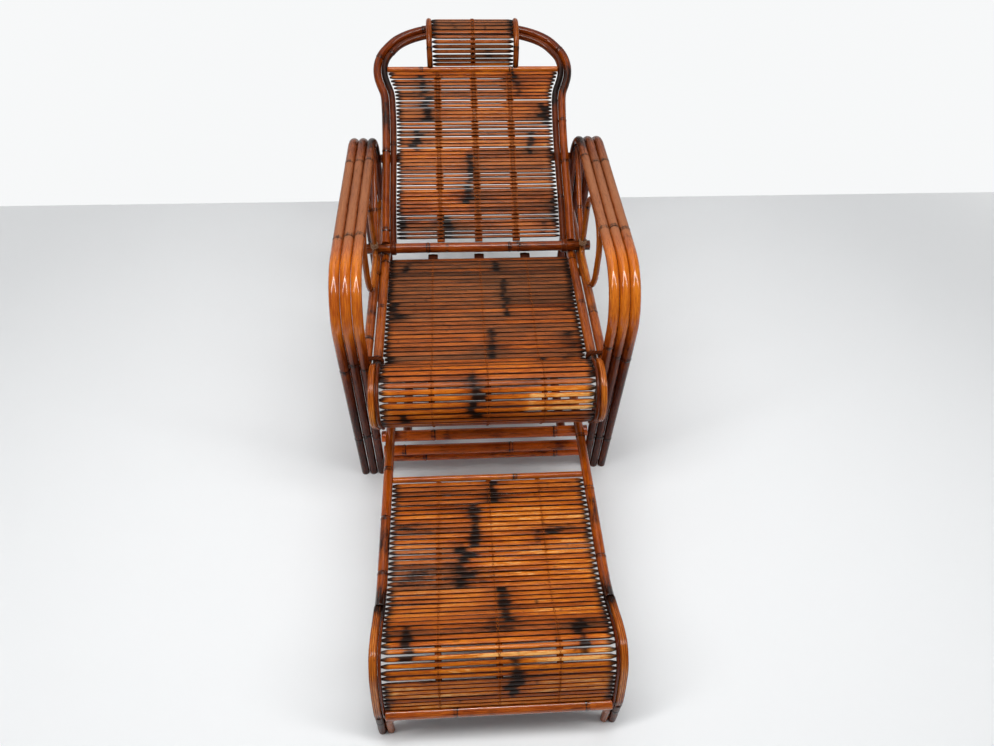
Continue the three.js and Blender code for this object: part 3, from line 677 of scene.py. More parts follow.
ARM_NODES = {
    ("left", "inner"): [0.158, 0.41, 0.752, 1.05, 1.53],
    ("left", "middle"): [0.165, 0.425, 0.748, 1.045, 1.55],
    ("left", "outer"): [0.15, 0.402, 0.74, 1.04, 1.54],
    ("right", "inner"): [0.126, 0.46, 0.762, 1.06, 1.5],
    ("right", "middle"): [0.13, 0.43, 0.766, 1.03, 1.52],
    ("right", "outer"): [0.12, 0.418, 0.757, 1.035, 1.5],
}
ARM_STEP = 6 * MM
ARM_SIDES = 22
ARM_TONES = ([0, 0.2, 0.42, 0.52, 0.66, 0.76, 1.1, 1.2, 1.3, 1.8],
             [0.24, 0.2, 0.36, 0.85, 0.84, 0.6, 0.42, 0.28, 0.34, 0.25])
ARM_WORN = ([0.66, 0.75, 1.02, 1.08], [0, 1, 1, 0.3])
ARM_TOP = (0.05, 0.75)
FOOT_BURN = (0.02, 0.03, 0.35)
ARM_SMUDGES = 5
ARM_SMUDGE = 0.35
REAR_BEND_BURN = (1.17, 0.08)
REAR_BURN = {"inner": 1.1, "middle": 0.5, "outer": 0.4}
FOOT_TAPER = ([0, 0.42], [0.88, 1])
FOOT_LEAN = ([0, 0.45], [1, 0])
LEAN_OUT = {"inner": 3 * MM, "middle": 1.5 * MM, "outer": 0}


def arm_tone(places):
    """Dark foot, orange front bend, middling armrest and dark rear leg."""
    return np.interp(places, *ARM_TONES)


def arm_worn(places, angles):
    """The skin is rubbed on top of the armrest."""
    facing = (np.cos(angles + math.radians(RIGHT_ANGLE)) - ARM_TOP[0]) / ARM_TOP[1]
    return np.interp(places, *ARM_WORN) * np.clip(facing, 0, 1)


def build_arms():
    measured = Line(across(arm_line(), 0))
    places = measured.places(ARM_STEP)
    for (side, which), nodes in ARM_NODES.items():
        path = measured.at(places)
        path[:, 0] = SIDES[side] * (arm_x[which] + LEAN_OUT[which] * np.interp(places, *FOOT_LEAN))
        burns = [(*REAR_BEND_BURN, REAR_BURN[which]), FOOT_BURN]
        burns += [smudge(measured.length, ARM_SMUDGE) for _ in range(ARM_SMUDGES)]
        rings = node_scale(nodes)
        label = which + "_" + side
        dress("arm_" + label, "frame", "arm_pole_" + label, "pole_bamboo", pole_skin,
              pole(path, arm_radius, nodes, arm_tone, burns, arm_worn, ARM_SIDES,
                   lambda s: rings(s) * np.interp(s, *FOOT_TAPER), floor=True))


NODE_PITCH = 0.26
SMUDGE_PITCH = 0.07
SMUDGE = 0.5
POLE_SWAY = 0.5 * MM
SWAY_PLACES = 25
SWAY_PACE = 7


def bowed(start, end, amount, normal):
    """Straight points with the slight sway of a grown pole."""
    shares = np.linspace(0, 1, SWAY_PLACES)
    phase = random.uniform(0, 6)
    sway = amount * np.sin(shares * math.pi) * np.sin(shares * SWAY_PACE + phase)
    return [start + (end - start) * t + np.array(normal) * s for t, s in zip(shares, sway)]


def build_straight(node, body, skin, tone, nodes=None, burns=(), along="x", sides=20, slot="dark_bamboo"):
    """A straight pole in the place of a straight solid; nodes are given in the part's frame."""
    low, high = (np.array(corner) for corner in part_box(node))
    axis = "xyz".index(along)
    start, end = (low + high) / 2, (low + high) / 2
    start[axis], end[axis] = low[axis], high[axis]
    length = end[axis] - start[axis]
    radius = max(np.delete(high - low, axis)) / 2
    nodes = spaced_nodes(length, NODE_PITCH) if nodes is None else [n - low[axis] for n in nodes]
    burns = list(burns) + [smudge(length, SMUDGE) for _ in range(max(int(length / SMUDGE_PITCH), 2))]
    normal = (0, 0, 1) if along == "x" else (1, 0, 0)
    path = bowed(start, end, POLE_SWAY, normal)
    dress(node + "_pole", body, node, slot, skin,
          pole(path, radius, nodes, tone, burns, sides=sides, normal=normal))


def build_cross_poles():
    build_straight("axle_rail", "frame", pole_skin, 0.55, [-0.129, 0.078, 0.1],
                   [(0.39, 0.03, 0.5), (0.02, 0.05, 0.6), (0.545, 0.05, 0.55)], slot="pole_bamboo")
    build_straight("front_stretcher", "frame", red_skin, 0.9, [-0.125, 0.17])
    build_straight("front_pair_upper", "frame", red_skin, 0.98, [-0.2, 0.065], [(0.44, 0.04, 0.45)])
    build_straight("front_pair_lower", "frame", red_skin, 0.92, [-0.15, 0.178],
                   [(0.05, 0.04, 0.5), (0.3, 0.05, 0.4)])
    build_straight("rear_stretcher", "frame", dark_skin, 0.5)
    for node in ("seat_front_bearer", "seat_rear_bearer", "rear_top_rail"):
        build_straight(node, "frame", dark_skin, 0.4)
    build_straight("footrest_front_rail", "footrest", pole_skin, 0.7, [-0.083, 0.168], [(0.36, 0.05, 0.35)])
    build_straight("footrest_top_bar", "footrest", pole_skin, 0.7, [0.061], sides=16)
    build_straight("footrest_cross_bar", "footrest", dark_skin, 0.5, sides=16)
    for side in SIDES:
        build_straight("side_rail_" + side, "frame", dark_skin, 0.85, along="y")
        build_straight("footrest_runner_" + side, "frame", dark_skin, 0.6, along="y")
        build_straight("footrest_leg_" + side, "footrest", dark_skin, 0.35, [0.055], along="z")


CANE_SIDES = 16


def build_side_curves():
    for side, sign in SIDES.items():
        x = sign * arm_x["inner"]
        dress("loop_" + side, "frame", "arm_loop_" + side, "laminated_cane", cane_skin,
              pole(across(loop_line(), x), LOOP["radius"], [0.11, 0.42], 0.6, [(0.22, 0.05, 0.5)],
                   sides=CANE_SIDES, closed=True))
        dress("brace_" + side, "frame", "arm_brace_" + side, "pole_bamboo", pole_skin,
              pole(across(brace_line(), x), BRACE["radius"], [0.09], 0.6, [(0.25, 0.04, 0.6)],
                   sides=CANE_SIDES))


# Twine and cane wound round the poles

TIE_RISE = 30 * MM
TIE_HEIGHT = 16 * MM
WRAP_STRAND = 1.3 * MM
WRAP_TONE = 0.2
COIL_STEP = 1.6 * MM
COIL_SIDES = 8
COIL_TWIST = 900
LOOP_TURNS = 6
NECK_TURNS = 5
STRAND_TWIST = 0.2


def strand(path, radius, sides, tone, pace, **settings):
    """A strand that is lighter and darker as it twists."""
    look = node_look([], lambda places: tone + STRAND_TWIST * np.sin(places * pace))
    return sweep(path, round_section(radius, sides), look, **settings)


def coil(outline, start, advance, turns, radius, tone):
    """A strand wound around an outline of points that lie flat, moving on by advance in all."""
    total = turns * len(outline) + 1
    points = [start + outline[i % len(outline)] + advance * (i / (total - 1)) for i in range(total)]
    return strand(points, radius, COIL_SIDES, tone, COIL_TWIST, normal=advance / np.linalg.norm(advance),
                  step=COIL_STEP)


def wrap_loop(side):
    """Cane round the rear side of the loop, beside the foot of the brace."""
    reach = LOOP["radius"] + WRAP_STRAND
    ring = [np.array([reach * math.cos(t), reach * math.sin(t), 0]) for t in on_circle(16)]
    y, z = chair(LOOP["back"], seat_height + RAIL_RADIUS + TIE_RISE + WRAP_STRAND)
    start = np.array([SIDES[side] * arm_x["inner"], y, z])
    dress("loop_wrap_" + side, "frame", "loop_binding_" + side, "cane_wrap", wrap_skin,
          coil(ring, start, np.array([0, 0, TIE_HEIGHT - 2 * WRAP_STRAND]), LOOP_TURNS, WRAP_STRAND,
               WRAP_TONE))


def wrap_neck(side):
    """Twine round a seat rail and the strip beside it."""
    low, high = (np.array(corner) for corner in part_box("neck_binding_" + side))
    half_height = (high[2] - low[2]) / 2 - WRAP_STRAND
    half_span = (high[0] - low[0]) / 2 - WRAP_STRAND - half_height
    right = [np.array([half_span + half_height * math.cos(t), 0, half_height * math.sin(t)])
             for t in np.radians(np.linspace(-RIGHT_ANGLE, RIGHT_ANGLE, 9))]
    depth = np.array([0, high[1] - low[1] - 2 * WRAP_STRAND, 0])
    outline = right + [-p for p in right]
    dress("neck_wrap_" + side, "frame", "neck_binding_" + side, "cane_wrap", twine_skin,
          coil(outline, (low + high) / 2 - depth / 2, depth, NECK_TURNS, WRAP_STRAND, WRAP_TONE))


# Seat rails and bands of layered cane

BAND_STRIPES = 4
STRIPE_TONE = 0.2
STRIPE_EDGE = 0.2


def band_look(width, tones, burns):
    """Golden and dark stripes along a band of layered cane."""
    plain = node_look([], lambda places: np.interp(places, *tones), burns=burns)

    def look(places, angles):
        base, rub, burn = plain(places, angles)
        aside = BAND_DEPTH / 2 / np.tan(np.where(np.abs(angles) < STRIPE_EDGE, STRIPE_EDGE, angles)) / width
        return base + STRIPE_TONE * np.cos(CIRCLE * BAND_STRIPES * aside), rub, burn
    return look


def build_seat_rail(side):
    low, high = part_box("seat_rail_" + side)
    rail_x = SIDES[side] * (max(abs(low.x), abs(high.x)) - RAIL_RADIUS)
    thick_line = [chair(SEAT_THICK_Y, seat_height), chair(SEAT_BACK_Y, seat_height)]
    thick = pole(across(thick_line, rail_x), RAIL_RADIUS, [0.03, 0.2, 0.37], 0.8, [(0, 0.035, 0.9)])
    curve = across(seat_scroll() + seat_neck(), SIDES[side] * SEAT_STRIP["x"])
    look = node_look([], 0.45, burns=[(Line(curve).length, 0.05, 0.95)])
    thin = sweep(curve, band_section(SEAT_STRIP), look)
    dress("seat_rail_pole_" + side, "frame", "seat_rail_" + side, "dark_bamboo", dark_skin, thick, thin)


def build_seat_band(side):
    curve = across(seat_scroll(), SIDES[side] * SEAT_BAND["x"])
    length = Line(curve).length
    tones = ([0, 0.1, length], [0.5, 0.72, 0.55])
    look = band_look(SEAT_BAND["width"], tones, [(length, 0.02, 0.8), (0, 0.02, 0.5)])
    dress("seat_band_" + side, "frame", "seat_scroll_band_" + side, "laminated_cane", cane_skin,
          sweep(curve, band_section(SEAT_BAND), look))


# Slat fields

SLAT_HEIGHT = 5 * MM
BATTEN_WIDTH = 13 * MM
BACK_BATTEN_WIDTH = 19 * MM
BATTEN_DEPTH = 5 * MM
BATTEN_DROP = 1.2 * MM
BATTEN_STEP = 6 * MM
BATTEN_NODE_PITCH = 0.21
BATTEN_FLAT = [(-1, 0.7), (-0.9, 1), (0.9, 1), (1, 0.7)]
BATTEN_LIP = 0.2
END_TAPER = 11 * MM
SLAT_STATIONS = 64
SLAT_SECTION = np.array([
    (0.47, 0.0), (0.5, 0.5), (0.46, 0.8), (0.3, 0.95), (0.0, 1.0), (-0.3, 0.95), (-0.46, 0.8),
    (-0.5, 0.5), (-0.47, 0.0),
])
# Painted shade: each slat's tone drops towards its rounded sides, standing for the shade in the creases
# between slats.
PAINTED_CREASE_SHADE = 0.62
CREASE_SHADE_BAND = (0.6, 0.32)
TIP_SHARES = ([0, 0.25, 0.7, 1], [0.5, 0.6, 0.9, 1])
TIP_BURN = ([0, 0.7, 2.2], [0.95, 0.7, 0.04])
TIP_HEIGHT = 0.55
SLAT_HEIGHTS = (0.84, 0.99)
SLAT_SWAY = dict(size=0.12 * MM, pace=13, drop=0.13 * MM)
GAP_SWAYS = dict(wide=0.16 * MM, pace=14, fine=0.1 * MM, fine_pace=41)
GAP_STRENGTHS = (0.15, 1.3)
GAP_FADE = 30 * MM
LEAST_GAP = 0.1 * MM
MARK = dict(fade=4 * MM, inside=0.7, wander=0.28, reach=(0.6, 1.3), strength=(0.7, 1.4), halo=3)
SPECK = dict(count=3, reach=0.24, strength=0.5, half=4 * MM)
SPLIT = dict(wander=4 * MM, blur=3 * MM)
STREAK = dict(strength=0.07, pace=(5, 16))
TONE_SPREAD = 0.065
WEAR_SPREAD = (-0.15, 0.2)
HALO_DARK = 0.28
PLAIN_TONE = (0, 0.6, 0.1, 0.6, 0.1)
GAP_UNITS = (MM, MM, PERCENT, MM, MM)
TONE_UNITS = (MM, MM, MM, PERCENT, PERCENT, PERCENT, PERCENT)
MARK_UNITS = (MM, MM, MM, MM, PERCENT)


def side_normal(direction):
    return np.array([0, -direction[2], direction[1]])


class Field:
    """One field of slats, with what the eye sees on it: open gaps, tones and scorch marks."""

    def __init__(self, name, line, start, end, count, half_at, seen, gaps):
        self.name = name
        self.line = line
        self.start = start
        self.pitch = (end - start) / count
        self.count = count
        self.half_at = half_at
        units = (GAP_UNITS, TONE_UNITS, MARK_UNITS)
        self.gaps, self.tones, self.marks = (np.array(rows) * unit for rows, unit in zip(seen, units))
        self.open_gap, self.tight_gap = gaps
        self.gap_strength = random.uniform(*GAP_STRENGTHS, count + 1)
        self.gap_phase = random.uniform(0, 6, count + 1)

    def gap(self, i, x):
        """How wide the gap before slat i is, across the chair."""
        s = self.start + i * self.pitch
        openness = np.zeros_like(x)
        for low, high, amount, x_low, x_high in self.gaps:
            if low <= s <= high:
                inside = np.clip(np.minimum(x - x_low, x_high - x) / GAP_FADE + 0.5, 0, 1)
                openness = np.maximum(openness, amount * inside)
        sway = GAP_SWAYS["wide"] * np.sin(x * GAP_SWAYS["pace"] + self.gap_phase[i])
        sway += GAP_SWAYS["fine"] * np.sin(x * GAP_SWAYS["fine_pace"] + i)
        wide = self.tight_gap + (self.open_gap - self.tight_gap) * openness * self.gap_strength[i]
        return np.maximum(wide + sway, LEAST_GAP)

    def edges(self, i, x):
        """Where slat i begins and ends along the field, at places across it."""
        low = self.start + i * self.pitch + self.gap(i, x) / 2
        high = self.start + (i + 1) * self.pitch - self.gap(i + 1, x) / 2
        return low, high

    def tone_at(self, s):
        for low, high, *tone in self.tones:
            if low <= s <= high:
                return tone
        return PLAIN_TONE

    def burn_at(self, x, s):
        """How scorched a slat is along its length, and how far the brown round each mark reaches."""
        burn = np.zeros_like(x)
        halo = np.zeros_like(x)
        for mark_x, low, high, half, strength in self.marks:
            inside = min(max(min(s - low, high - s) / MARK["fade"] + MARK["inside"], 0), 1)
            centre = mark_x + random.normal(0, MARK["wander"] * half)
            reach = half * random.uniform(*MARK["reach"])
            amount = inside * strength * random.uniform(*MARK["strength"])
            burn = np.maximum(burn, amount * bell(x, centre, reach))
            halo = np.maximum(halo, amount * bell(x, centre, MARK["halo"] * reach))
        for speck in random.uniform(-SPECK["reach"], SPECK["reach"], SPECK["count"]):
            burn = np.maximum(burn, random.uniform(0, SPECK["strength"]) * bell(x, speck, SPECK["half"]))
        return burn, halo


def slat_stations(half):
    body = np.linspace(-half + END_TAPER, half - END_TAPER, SLAT_STATIONS)
    tip = np.linspace(0, END_TAPER, 5)[:-1]
    return np.concatenate([-half + tip, body, half - tip[::-1]])


def slat_look(field, s, xs, from_end):
    """Tone, wear and scorch along one slat."""
    split, left, left_worn, right, right_worn = field.tone_at(s)
    burn, halo = field.burn_at(xs, s)
    burn = np.maximum(burn, np.interp(from_end / END_TAPER, *TIP_BURN))
    blend = 1 / (1 + np.exp(-(xs - split - random.normal(0, SPLIT["wander"])) / SPLIT["blur"]))
    streak = STREAK["strength"] * np.sin(xs * random.uniform(*STREAK["pace"]) + random.uniform(0, 6))
    tone = left + (right - left) * blend + random.normal(0, TONE_SPREAD) + streak - HALO_DARK * halo
    worn = left_worn + (right_worn - left_worn) * blend + random.uniform(*WEAR_SPREAD)
    return tone, np.clip(worn, 0, 1), burn


def build_slat(field, i):
    """One split slat, with pointed ends and a rounded face."""
    low_s = field.start + i * field.pitch
    start, end = field.line.at(low_s), field.line.at(low_s + field.pitch)
    along = (end - start) / np.linalg.norm(end - start)
    half = field.half_at(low_s, low_s + field.pitch)
    xs = slat_stations(half)
    from_end = half - np.abs(xs)
    tip = np.interp(from_end / END_TAPER, *TIP_SHARES)[:, None]
    low, high = (edge[:, None] for edge in field.edges(i, xs))
    height = SLAT_HEIGHT * random.uniform(*SLAT_HEIGHTS) * (TIP_HEIGHT + (1 - TIP_HEIGHT) * tip)
    sway = SLAT_SWAY["size"] * np.sin(xs[:, None] * SLAT_SWAY["pace"] + random.uniform(0, 6))
    sway -= SLAT_SWAY["drop"]
    tone, worn, burn = (v[:, None] for v in slat_look(field, low_s + field.pitch / 2, xs, from_end))
    wide, tall = SLAT_SECTION.T
    u = (low + high) / 2 - low_s + (high - low) * tip * wide
    v = height * tall + np.where(tall > 0, sway, 0)
    points = start + u[..., None] * along + v[..., None] * side_normal(along)
    points[..., 0] = xs[:, None]
    seed = random.uniform(0, 60)
    # Painted shade: tone falls and wear fades towards the slat's sides, as crease shade between neighbouring
    # slats.
    crease_shade = np.clip((np.abs(wide) * 2 - CREASE_SHADE_BAND[0]) / CREASE_SHADE_BAND[1], 0, 1)
    grain = layers(u.shape, xs[:, None] + seed, u + seed, v)
    look = layers(u.shape, tone - PAINTED_CREASE_SHADE * crease_shade, worn * (1 - crease_shade), burn)
    return points.reshape(-1, 3), ring_faces(*u.shape), grain.reshape(-1, 3), look.reshape(-1, 3)


def build_slats(field, body):
    dress(field.name + "_slat_field", body, field.name + "_slats", "split_bamboo", slat_skin,
          *[build_slat(field, i) for i in range(field.count)])


def batten_section(width):
    """A split strip with its rounded side down."""
    bulge = [(math.cos(t), -BATTEN_LIP - (1 - BATTEN_LIP) * math.sin(t))
             for t in np.radians(np.linspace(0, HALF_TURN, 9))]
    return (np.array(BATTEN_FLAT + bulge) * (width / 2, BATTEN_DEPTH / 2))[::-1]


def build_batten(name, node, body, line, x, start, end, tone, skin, width=BATTEN_WIDTH):
    """A batten under a field."""
    path = []
    for s in np.linspace(start, end, max(int((end - start) / BATTEN_STEP), 2)):
        point = line.at(s) - side_normal(line.direction(s)) * (BATTEN_DROP + BATTEN_DEPTH / 2)
        path.append(np.array([x, point[1], point[2]]))
    look = node_look(spaced_nodes(end - start, BATTEN_NODE_PITCH), tone)
    dress(name, body, node, "dark_bamboo", skin, sweep(path, batten_section(width), look, step=BATTEN_STEP))


def build_battens(field, body, start, end, tone, skin, width=BATTEN_WIDTH):
    """The three battens under a field; gives their places across the chair."""
    side_x = abs(middle(field.name + "_batten_left").x)
    columns = {"left": -side_x, "middle": 0, "right": side_x}
    for label, x in columns.items():
        node = field.name + "_batten_" + label if x else None
        build_batten(field.name + "_batten_strip_" + label, node, body, field.line, x, start, end, tone,
                     skin, width)
    return columns


TIE_STRAND = 0.5 * MM
TIE_HALF = 3.2 * MM
TIE_STEP = 1.8 * MM
TIE_SIDES = 6
TIE_TWIST = 700
TIE_SINK = 0.4
TIE_STEPS = [(-0.02, -0.15), (0.14, 0.86), (0.5, 1.03), (0.86, 0.86)]
BACK_TIE = (9 * MM, 0.8 * MM)
HEAD_TIE = (6 * MM, 0.7 * MM)


def tie_path(field, x, sign, half, radius):
    """Crosses over each slat and dips to the batten in each gap."""
    points = []
    for i in range(field.count):
        low, high = (float(e[0]) for e in field.edges(i, np.array([x])))
        side = sign if i % 2 else -sign
        for share, height in TIE_STEPS:
            s = low + (high - low) * share
            lift = side_normal(field.line.direction(s)) * (SLAT_HEIGHT * height + radius * TIE_SINK)
            point = field.line.at(s) + lift
            points.append(np.array([x + side * half * (1 - 2 * share), point[1], point[2]]))
    return smooth(points, 3)


def build_ties(field, body, columns, tone, half=TIE_HALF, radius=TIE_STRAND):
    """Two strands of twine over the slats at each batten."""
    for column, x in columns.items():
        for sign, label in ((-1, "_a"), (1, "_b")):
            dress(field.name + "_tie_" + column + label, body, None, "cane_wrap", twine_skin,
                  strand(tie_path(field, x, sign, half, radius), radius, TIE_SIDES, tone, TIE_TWIST,
                         step=TIE_STEP))


seat_line = Line(across(seat_scroll() + seat_neck() + [chair(SEAT_BACK_Y, seat_height)], 0))
foot_line = Line(across(foot_roll() + [chair(FOOT_BACK_Y, foot_height)], 0))
back_line = Line([on_back(0, 0, 0), on_back(0, TOP_BAR_S, 0)])
SEAT_SLATS = dict(start=14 * MM, back=41 * MM, half=225.6 * MM, count=46, gaps=(2.6 * MM, 0.45 * MM))
SEAT_BATTEN = dict(start=7 * MM, back=15 * MM)
FOOT_SLATS = dict(start=26 * MM, back=257 * MM, half=215.2 * MM, count=46, gaps=(4 * MM, 0.5 * MM))
FOOT_BATTEN_BACK = 252.3 * MM
BACK_SLATS = dict(start=22 * MM, end=500 * MM, end_gap=0.8 * MM, count=45, gaps=(3.6 * MM, 0.5 * MM))
HEAD_SLATS = dict(start=2 * MM, pitch=11.55 * MM, count=14, gaps=(3.2 * MM, 0.7 * MM))
NECK_CLEAR = (-34.3 * MM, -19.7 * MM)
NECK_SHORT = 3.8 * MM


def seat_half(low, high):
    """Slats beside the rails' binding are a little shorter."""
    front, back = seat_line.at(low)[1] - shift_y, seat_line.at(high)[1] - shift_y
    clear = front > NECK_CLEAR[1] or back < NECK_CLEAR[0]
    return SEAT_SLATS["half"] if clear else SEAT_SLATS["half"] - NECK_SHORT


def back_half(low, high):
    return min(inside_half(low), inside_half(high)) - BACK_SLATS["end_gap"]


# What the eye sees on each field, in millimetres along it from its start and across it, and in
# hundredths. Gaps: from, to, how open, from x, to x. Tones: from, to, x of a split, then tone and wear
# left and right of it. Scorch marks: x, from, to, half width, strength.

ALL = (-1000, 1000)
BACK_GAPS = [
    (0, 50, 75, *ALL), (66, 86, 130, *ALL), (150, 228, 85, *ALL), (270, 360, 90, *ALL),
    (385, 485, 75, -1000, 80), (410, 440, 90, *ALL),
]
BACK_TONES = [
    (0, 62, 90, 41, 20, 53, 25), (62, 100, -80, 53, 10, 46, 35), (100, 165, -20, 56, 5, 36, 25),
    (165, 250, -20, 58, 35, 53, 45), (250, 275, -20, 64, 10, 34, 25), (275, 330, 150, 58, 50, 66, 30),
    (330, 365, -120, 48, 10, 53, 30), (365, 420, -120, 58, 55, 60, 35), (420, 465, 100, 53, 50, 64, 20),
    (465, 500, -130, 60, 10, 64, 10),
]
BACK_MARKS = [
    (-148, 478, 492, 10, 90), (-137, 428, 475, 10, 80), (-125, 350, 425, 13, 95),
    (-156, 267, 326, 13, 90), (104, 469, 500, 10, 85), (118, 430, 470, 10, 80), (188, 345, 407, 18, 100),
    (144, 252, 323, 10, 75), (-16, 180, 260, 9, 85), (-22, 116, 180, 13, 95), (-81, 22, 83, 16, 100),
    (-196, 22, 85, 12, 90), (200, 50, 130, 12, 80), (170, 30, 60, 12, 60),
]
SEAT_GAPS = [
    (95, 165, 35, *ALL), (108, 150, 135, 70, 1000), (113, 125, 90, -30, 1000), (165, 660, 10, *ALL),
]
# Painted highlight: the row from 113 to 152 mm, right of x 85, is set to the palest tone, standing for glare
# on the seat roll.
SEAT_TONES_AND_GLARE = [
    (0, 60, 0, 55, 5, 53, 5), (60, 105, -30, 71, 2, 61, 5), (105, 113, -30, 79, 0, 71, 5),
    (113, 152, 85, 71, 0, 101, 0), (152, 165, -30, 75, 0, 71, 5), (165, 215, 100, 57, 5, 59, 15),
    (215, 270, 100, 40, 15, 32, 20), (270, 340, 10, 40, 30, 46, 20), (340, 400, 10, 50, 20, 42, 30),
    (400, 470, 50, 45, 30, 50, 15), (470, 530, 50, 36, 35, 26, 25), (530, 600, 50, 21, 30, 26, 30),
    (600, 700, 45, 31, 25, 21, 25),
]
SEAT_MARKS = [
    (46, 590, 640, 12, 80), (55, 424, 570, 11, 90), (15, 285, 385, 12, 90), (-216, 417, 481, 22, 90),
    (-219, 260, 300, 22, 90), (-182, 600, 635, 10, 80), (119, 245, 290, 13, 70), (-31, 165, 200, 11, 85),
    (-27, 95, 160, 13, 100), (-177, 85, 108, 12, 90), (190, 250, 300, 20, 50), (210, 440, 500, 20, 60),
    (200, 320, 370, 20, 50),
]
FOOT_GAPS = [
    (100, 175, 45, *ALL), (108, 165, 120, -1000, 20), (250, 550, 30, *ALL), (260, 470, 70, -1000, -100),
    (120, 160, 90, 60, 1000),
]
FOOT_TONES = [
    (0, 57, 27, 80, 0, 76, 2), (57, 147, 27, 84, 0, 89, 2), (147, 182, 150, 79, 2, 84, 0),
    (182, 227, -170, 54, 5, 54, 10), (227, 317, 17, 70, 15, 72, 5), (317, 367, -60, 48, 35, 78, 2),
    (367, 417, -60, 64, 25, 76, 2), (417, 517, -30, 68, 5, 80, 0), (517, 590, 8, 62, 10, 66, 5),
]
FOOT_MARKS = [
    (8, 517, 577, 12, 95), (-33, 412, 512, 15, 95), (-61, 317, 412, 20, 90), (17, 222, 314, 13, 100),
    (-170, 145, 219, 12, 100), (153, 177, 217, 13, 95), (157, 142, 175, 10, 95), (27, 55, 142, 14, 100),
    (-165, 442, 467, 45, 55), (-60, 317, 357, 60, 50), (150, 427, 455, 50, 65), (100, 412, 447, 12, 70),
    (-10, 192, 227, 50, 42), (-170, 317, 357, 50, 42),
]
HEAD_GAPS = [
    (0, 85, 90, *ALL), (85, 105, 50, *ALL),
]
HEAD_TONES = [
    (0, 60, 0, 42, 10, 42, 10), (60, 100, 0, 50, 20, 50, 20), (100, 300, 0, 40, 50, 40, 50),
]
HEAD_MARKS = [
    (40, 20, 50, 12, 50), (-50, 90, 120, 12, 40),
]


LASHING = dict(half=11.5 * MM, depth=2.2 * MM, length=24 * MM, strand=1.1 * MM, turns=11, tone=0.05)


def build_lashings(columns):
    """Dark twine round each seat batten, behind the last slat."""
    half, deep, radius = LASHING["half"], LASHING["depth"], LASHING["strand"]
    outline = [np.array([half * math.cos(t), 0, deep * max(min(3 * math.sin(t), 1), -1)])
               for t in on_circle(20)]
    y, z = chair(SEAT_BACK_Y - SEAT_SLATS["back"] + radius, seat_height - BATTEN_DROP - BATTEN_DEPTH / 2)
    for column, x in columns.items():
        dress("seat_lashing_" + column, "frame", None, "cane_wrap", twine_skin,
              coil(outline, np.array([x, y, z]), np.array([0, LASHING["length"], 0]), LASHING["turns"],
                   radius, LASHING["tone"]))


def build_seat():
    end = seat_line.length - SEAT_SLATS["back"]
    field = Field("seat", seat_line, SEAT_SLATS["start"], end, SEAT_SLATS["count"], seat_half,
                  (SEAT_GAPS, SEAT_TONES_AND_GLARE, SEAT_MARKS), SEAT_SLATS["gaps"])
    build_slats(field, "frame")
    batten_end = seat_line.length - SEAT_BATTEN["back"]
    columns = build_battens(field, "frame", SEAT_BATTEN["start"], batten_end, 0.4, dark_skin)
    build_lashings(columns)
    build_ties(field, "frame", columns, 0.75)


def build_foot():
    start, end = FOOT_SLATS["start"], foot_line.length - FOOT_SLATS["back"]
    field = Field("footrest", foot_line, start, end, FOOT_SLATS["count"], lambda a, b: FOOT_SLATS["half"],
                  (FOOT_GAPS, FOOT_TONES, FOOT_MARKS), FOOT_SLATS["gaps"])
    build_slats(field, "footrest")
    columns = build_battens(field, "footrest", start, foot_line.length - FOOT_BATTEN_BACK, 0.45, slat_skin)
    build_ties(field, "footrest", columns, 0.85)


# Back and headrest

ARCH_TONES = ([0, 0.38, 0.6, 1.12, 1.34, 1.7], [0.6, 0.52, 0.38, 0.38, 0.52, 0.6])
OUTER_NODES = [0.22, 0.34, 0.56, 0.95, 1.1, 1.38, 1.6]
OUTER_BURNS = [(0.46, 0.06, 0.8), (1.28, 0.06, 0.7)]
INNER_NODES = [0.12, 0.4, 0.7, 1.02, 1.3]
INNER_BURNS = [(0.44, 0.07, 1.0), (1.1, 0.07, 0.9), (0.2, 0.1, 0.3)]
HOOP_BURNS = [(0, 0.015, 0.7), (0.19, 0.03, 0.4)]
EYE_WALL = 4 * MM
EYE_HALF = 7 * MM
EYE_STEP = 2 * MM
EYE_SECTION = [(1, 0.4), (0.8, 1), (-0.8, 1), (-1, 0.4), (-1, -0.8), (1, -0.8)]


def build_back_slats():
    start = BACK_SLATS["start"]
    field = Field("back", back_line, start, BACK_SLATS["end"], BACK_SLATS["count"], back_half,
                  (BACK_GAPS, BACK_TONES, BACK_MARKS), BACK_SLATS["gaps"])
    build_slats(field, "back")
    columns = build_battens(field, "back", start - BATTEN_DEPTH, TOP_BAR_S - TOP_BAR_RADIUS - GAP, 0.5,
                            slat_skin, BACK_BATTEN_WIDTH)
    build_ties(field, "back", columns, 0.7, *BACK_TIE)


def eye_ring(x):
    """A round eye of the back's inner pole about the axle rail."""
    low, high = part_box("axle_rail")
    reach = (high.z - low.z) / 2 + GAP + EYE_WALL / 2
    path = [np.array([x, axle.y + reach * math.cos(t), axle.z + reach * math.sin(t)])
            for t in on_circle(41, whole=True)]
    section = np.array(EYE_SECTION) * (EYE_HALF, EYE_WALL / 2)
    return sweep(path, section, node_look([], 0.4), closed=True, step=EYE_STEP)


def build_arch():
    """The outer pole, and the inner pole with its eyes round the axle."""
    outer = [on_back(x, s, 0) for x, s in arch_inside(OUTER_START, OUTER_RADIUS)]
    dress("back_outer_bamboo", "back", "back_outer_pole", "pole_bamboo", pole_skin,
          pole(outer, OUTER_RADIUS, OUTER_NODES, lambda places: np.interp(places, *ARCH_TONES), OUTER_BURNS,
               normal=back_face))
    inner = [on_back(x, s, 0) for x, s in arch_inside(INNER_START, INNER_INSET)]
    shapes = [pole(inner, INNER_RADIUS, INNER_NODES, 0.45, INNER_BURNS, sides=18, normal=back_face)]
    shapes += [eye_ring(sign * abs(inner[0][0])) for sign in (-1, 1)]
    dress("back_inner_bamboo", "back", "back_inner_pole", "pole_bamboo", dark_skin, *shapes)


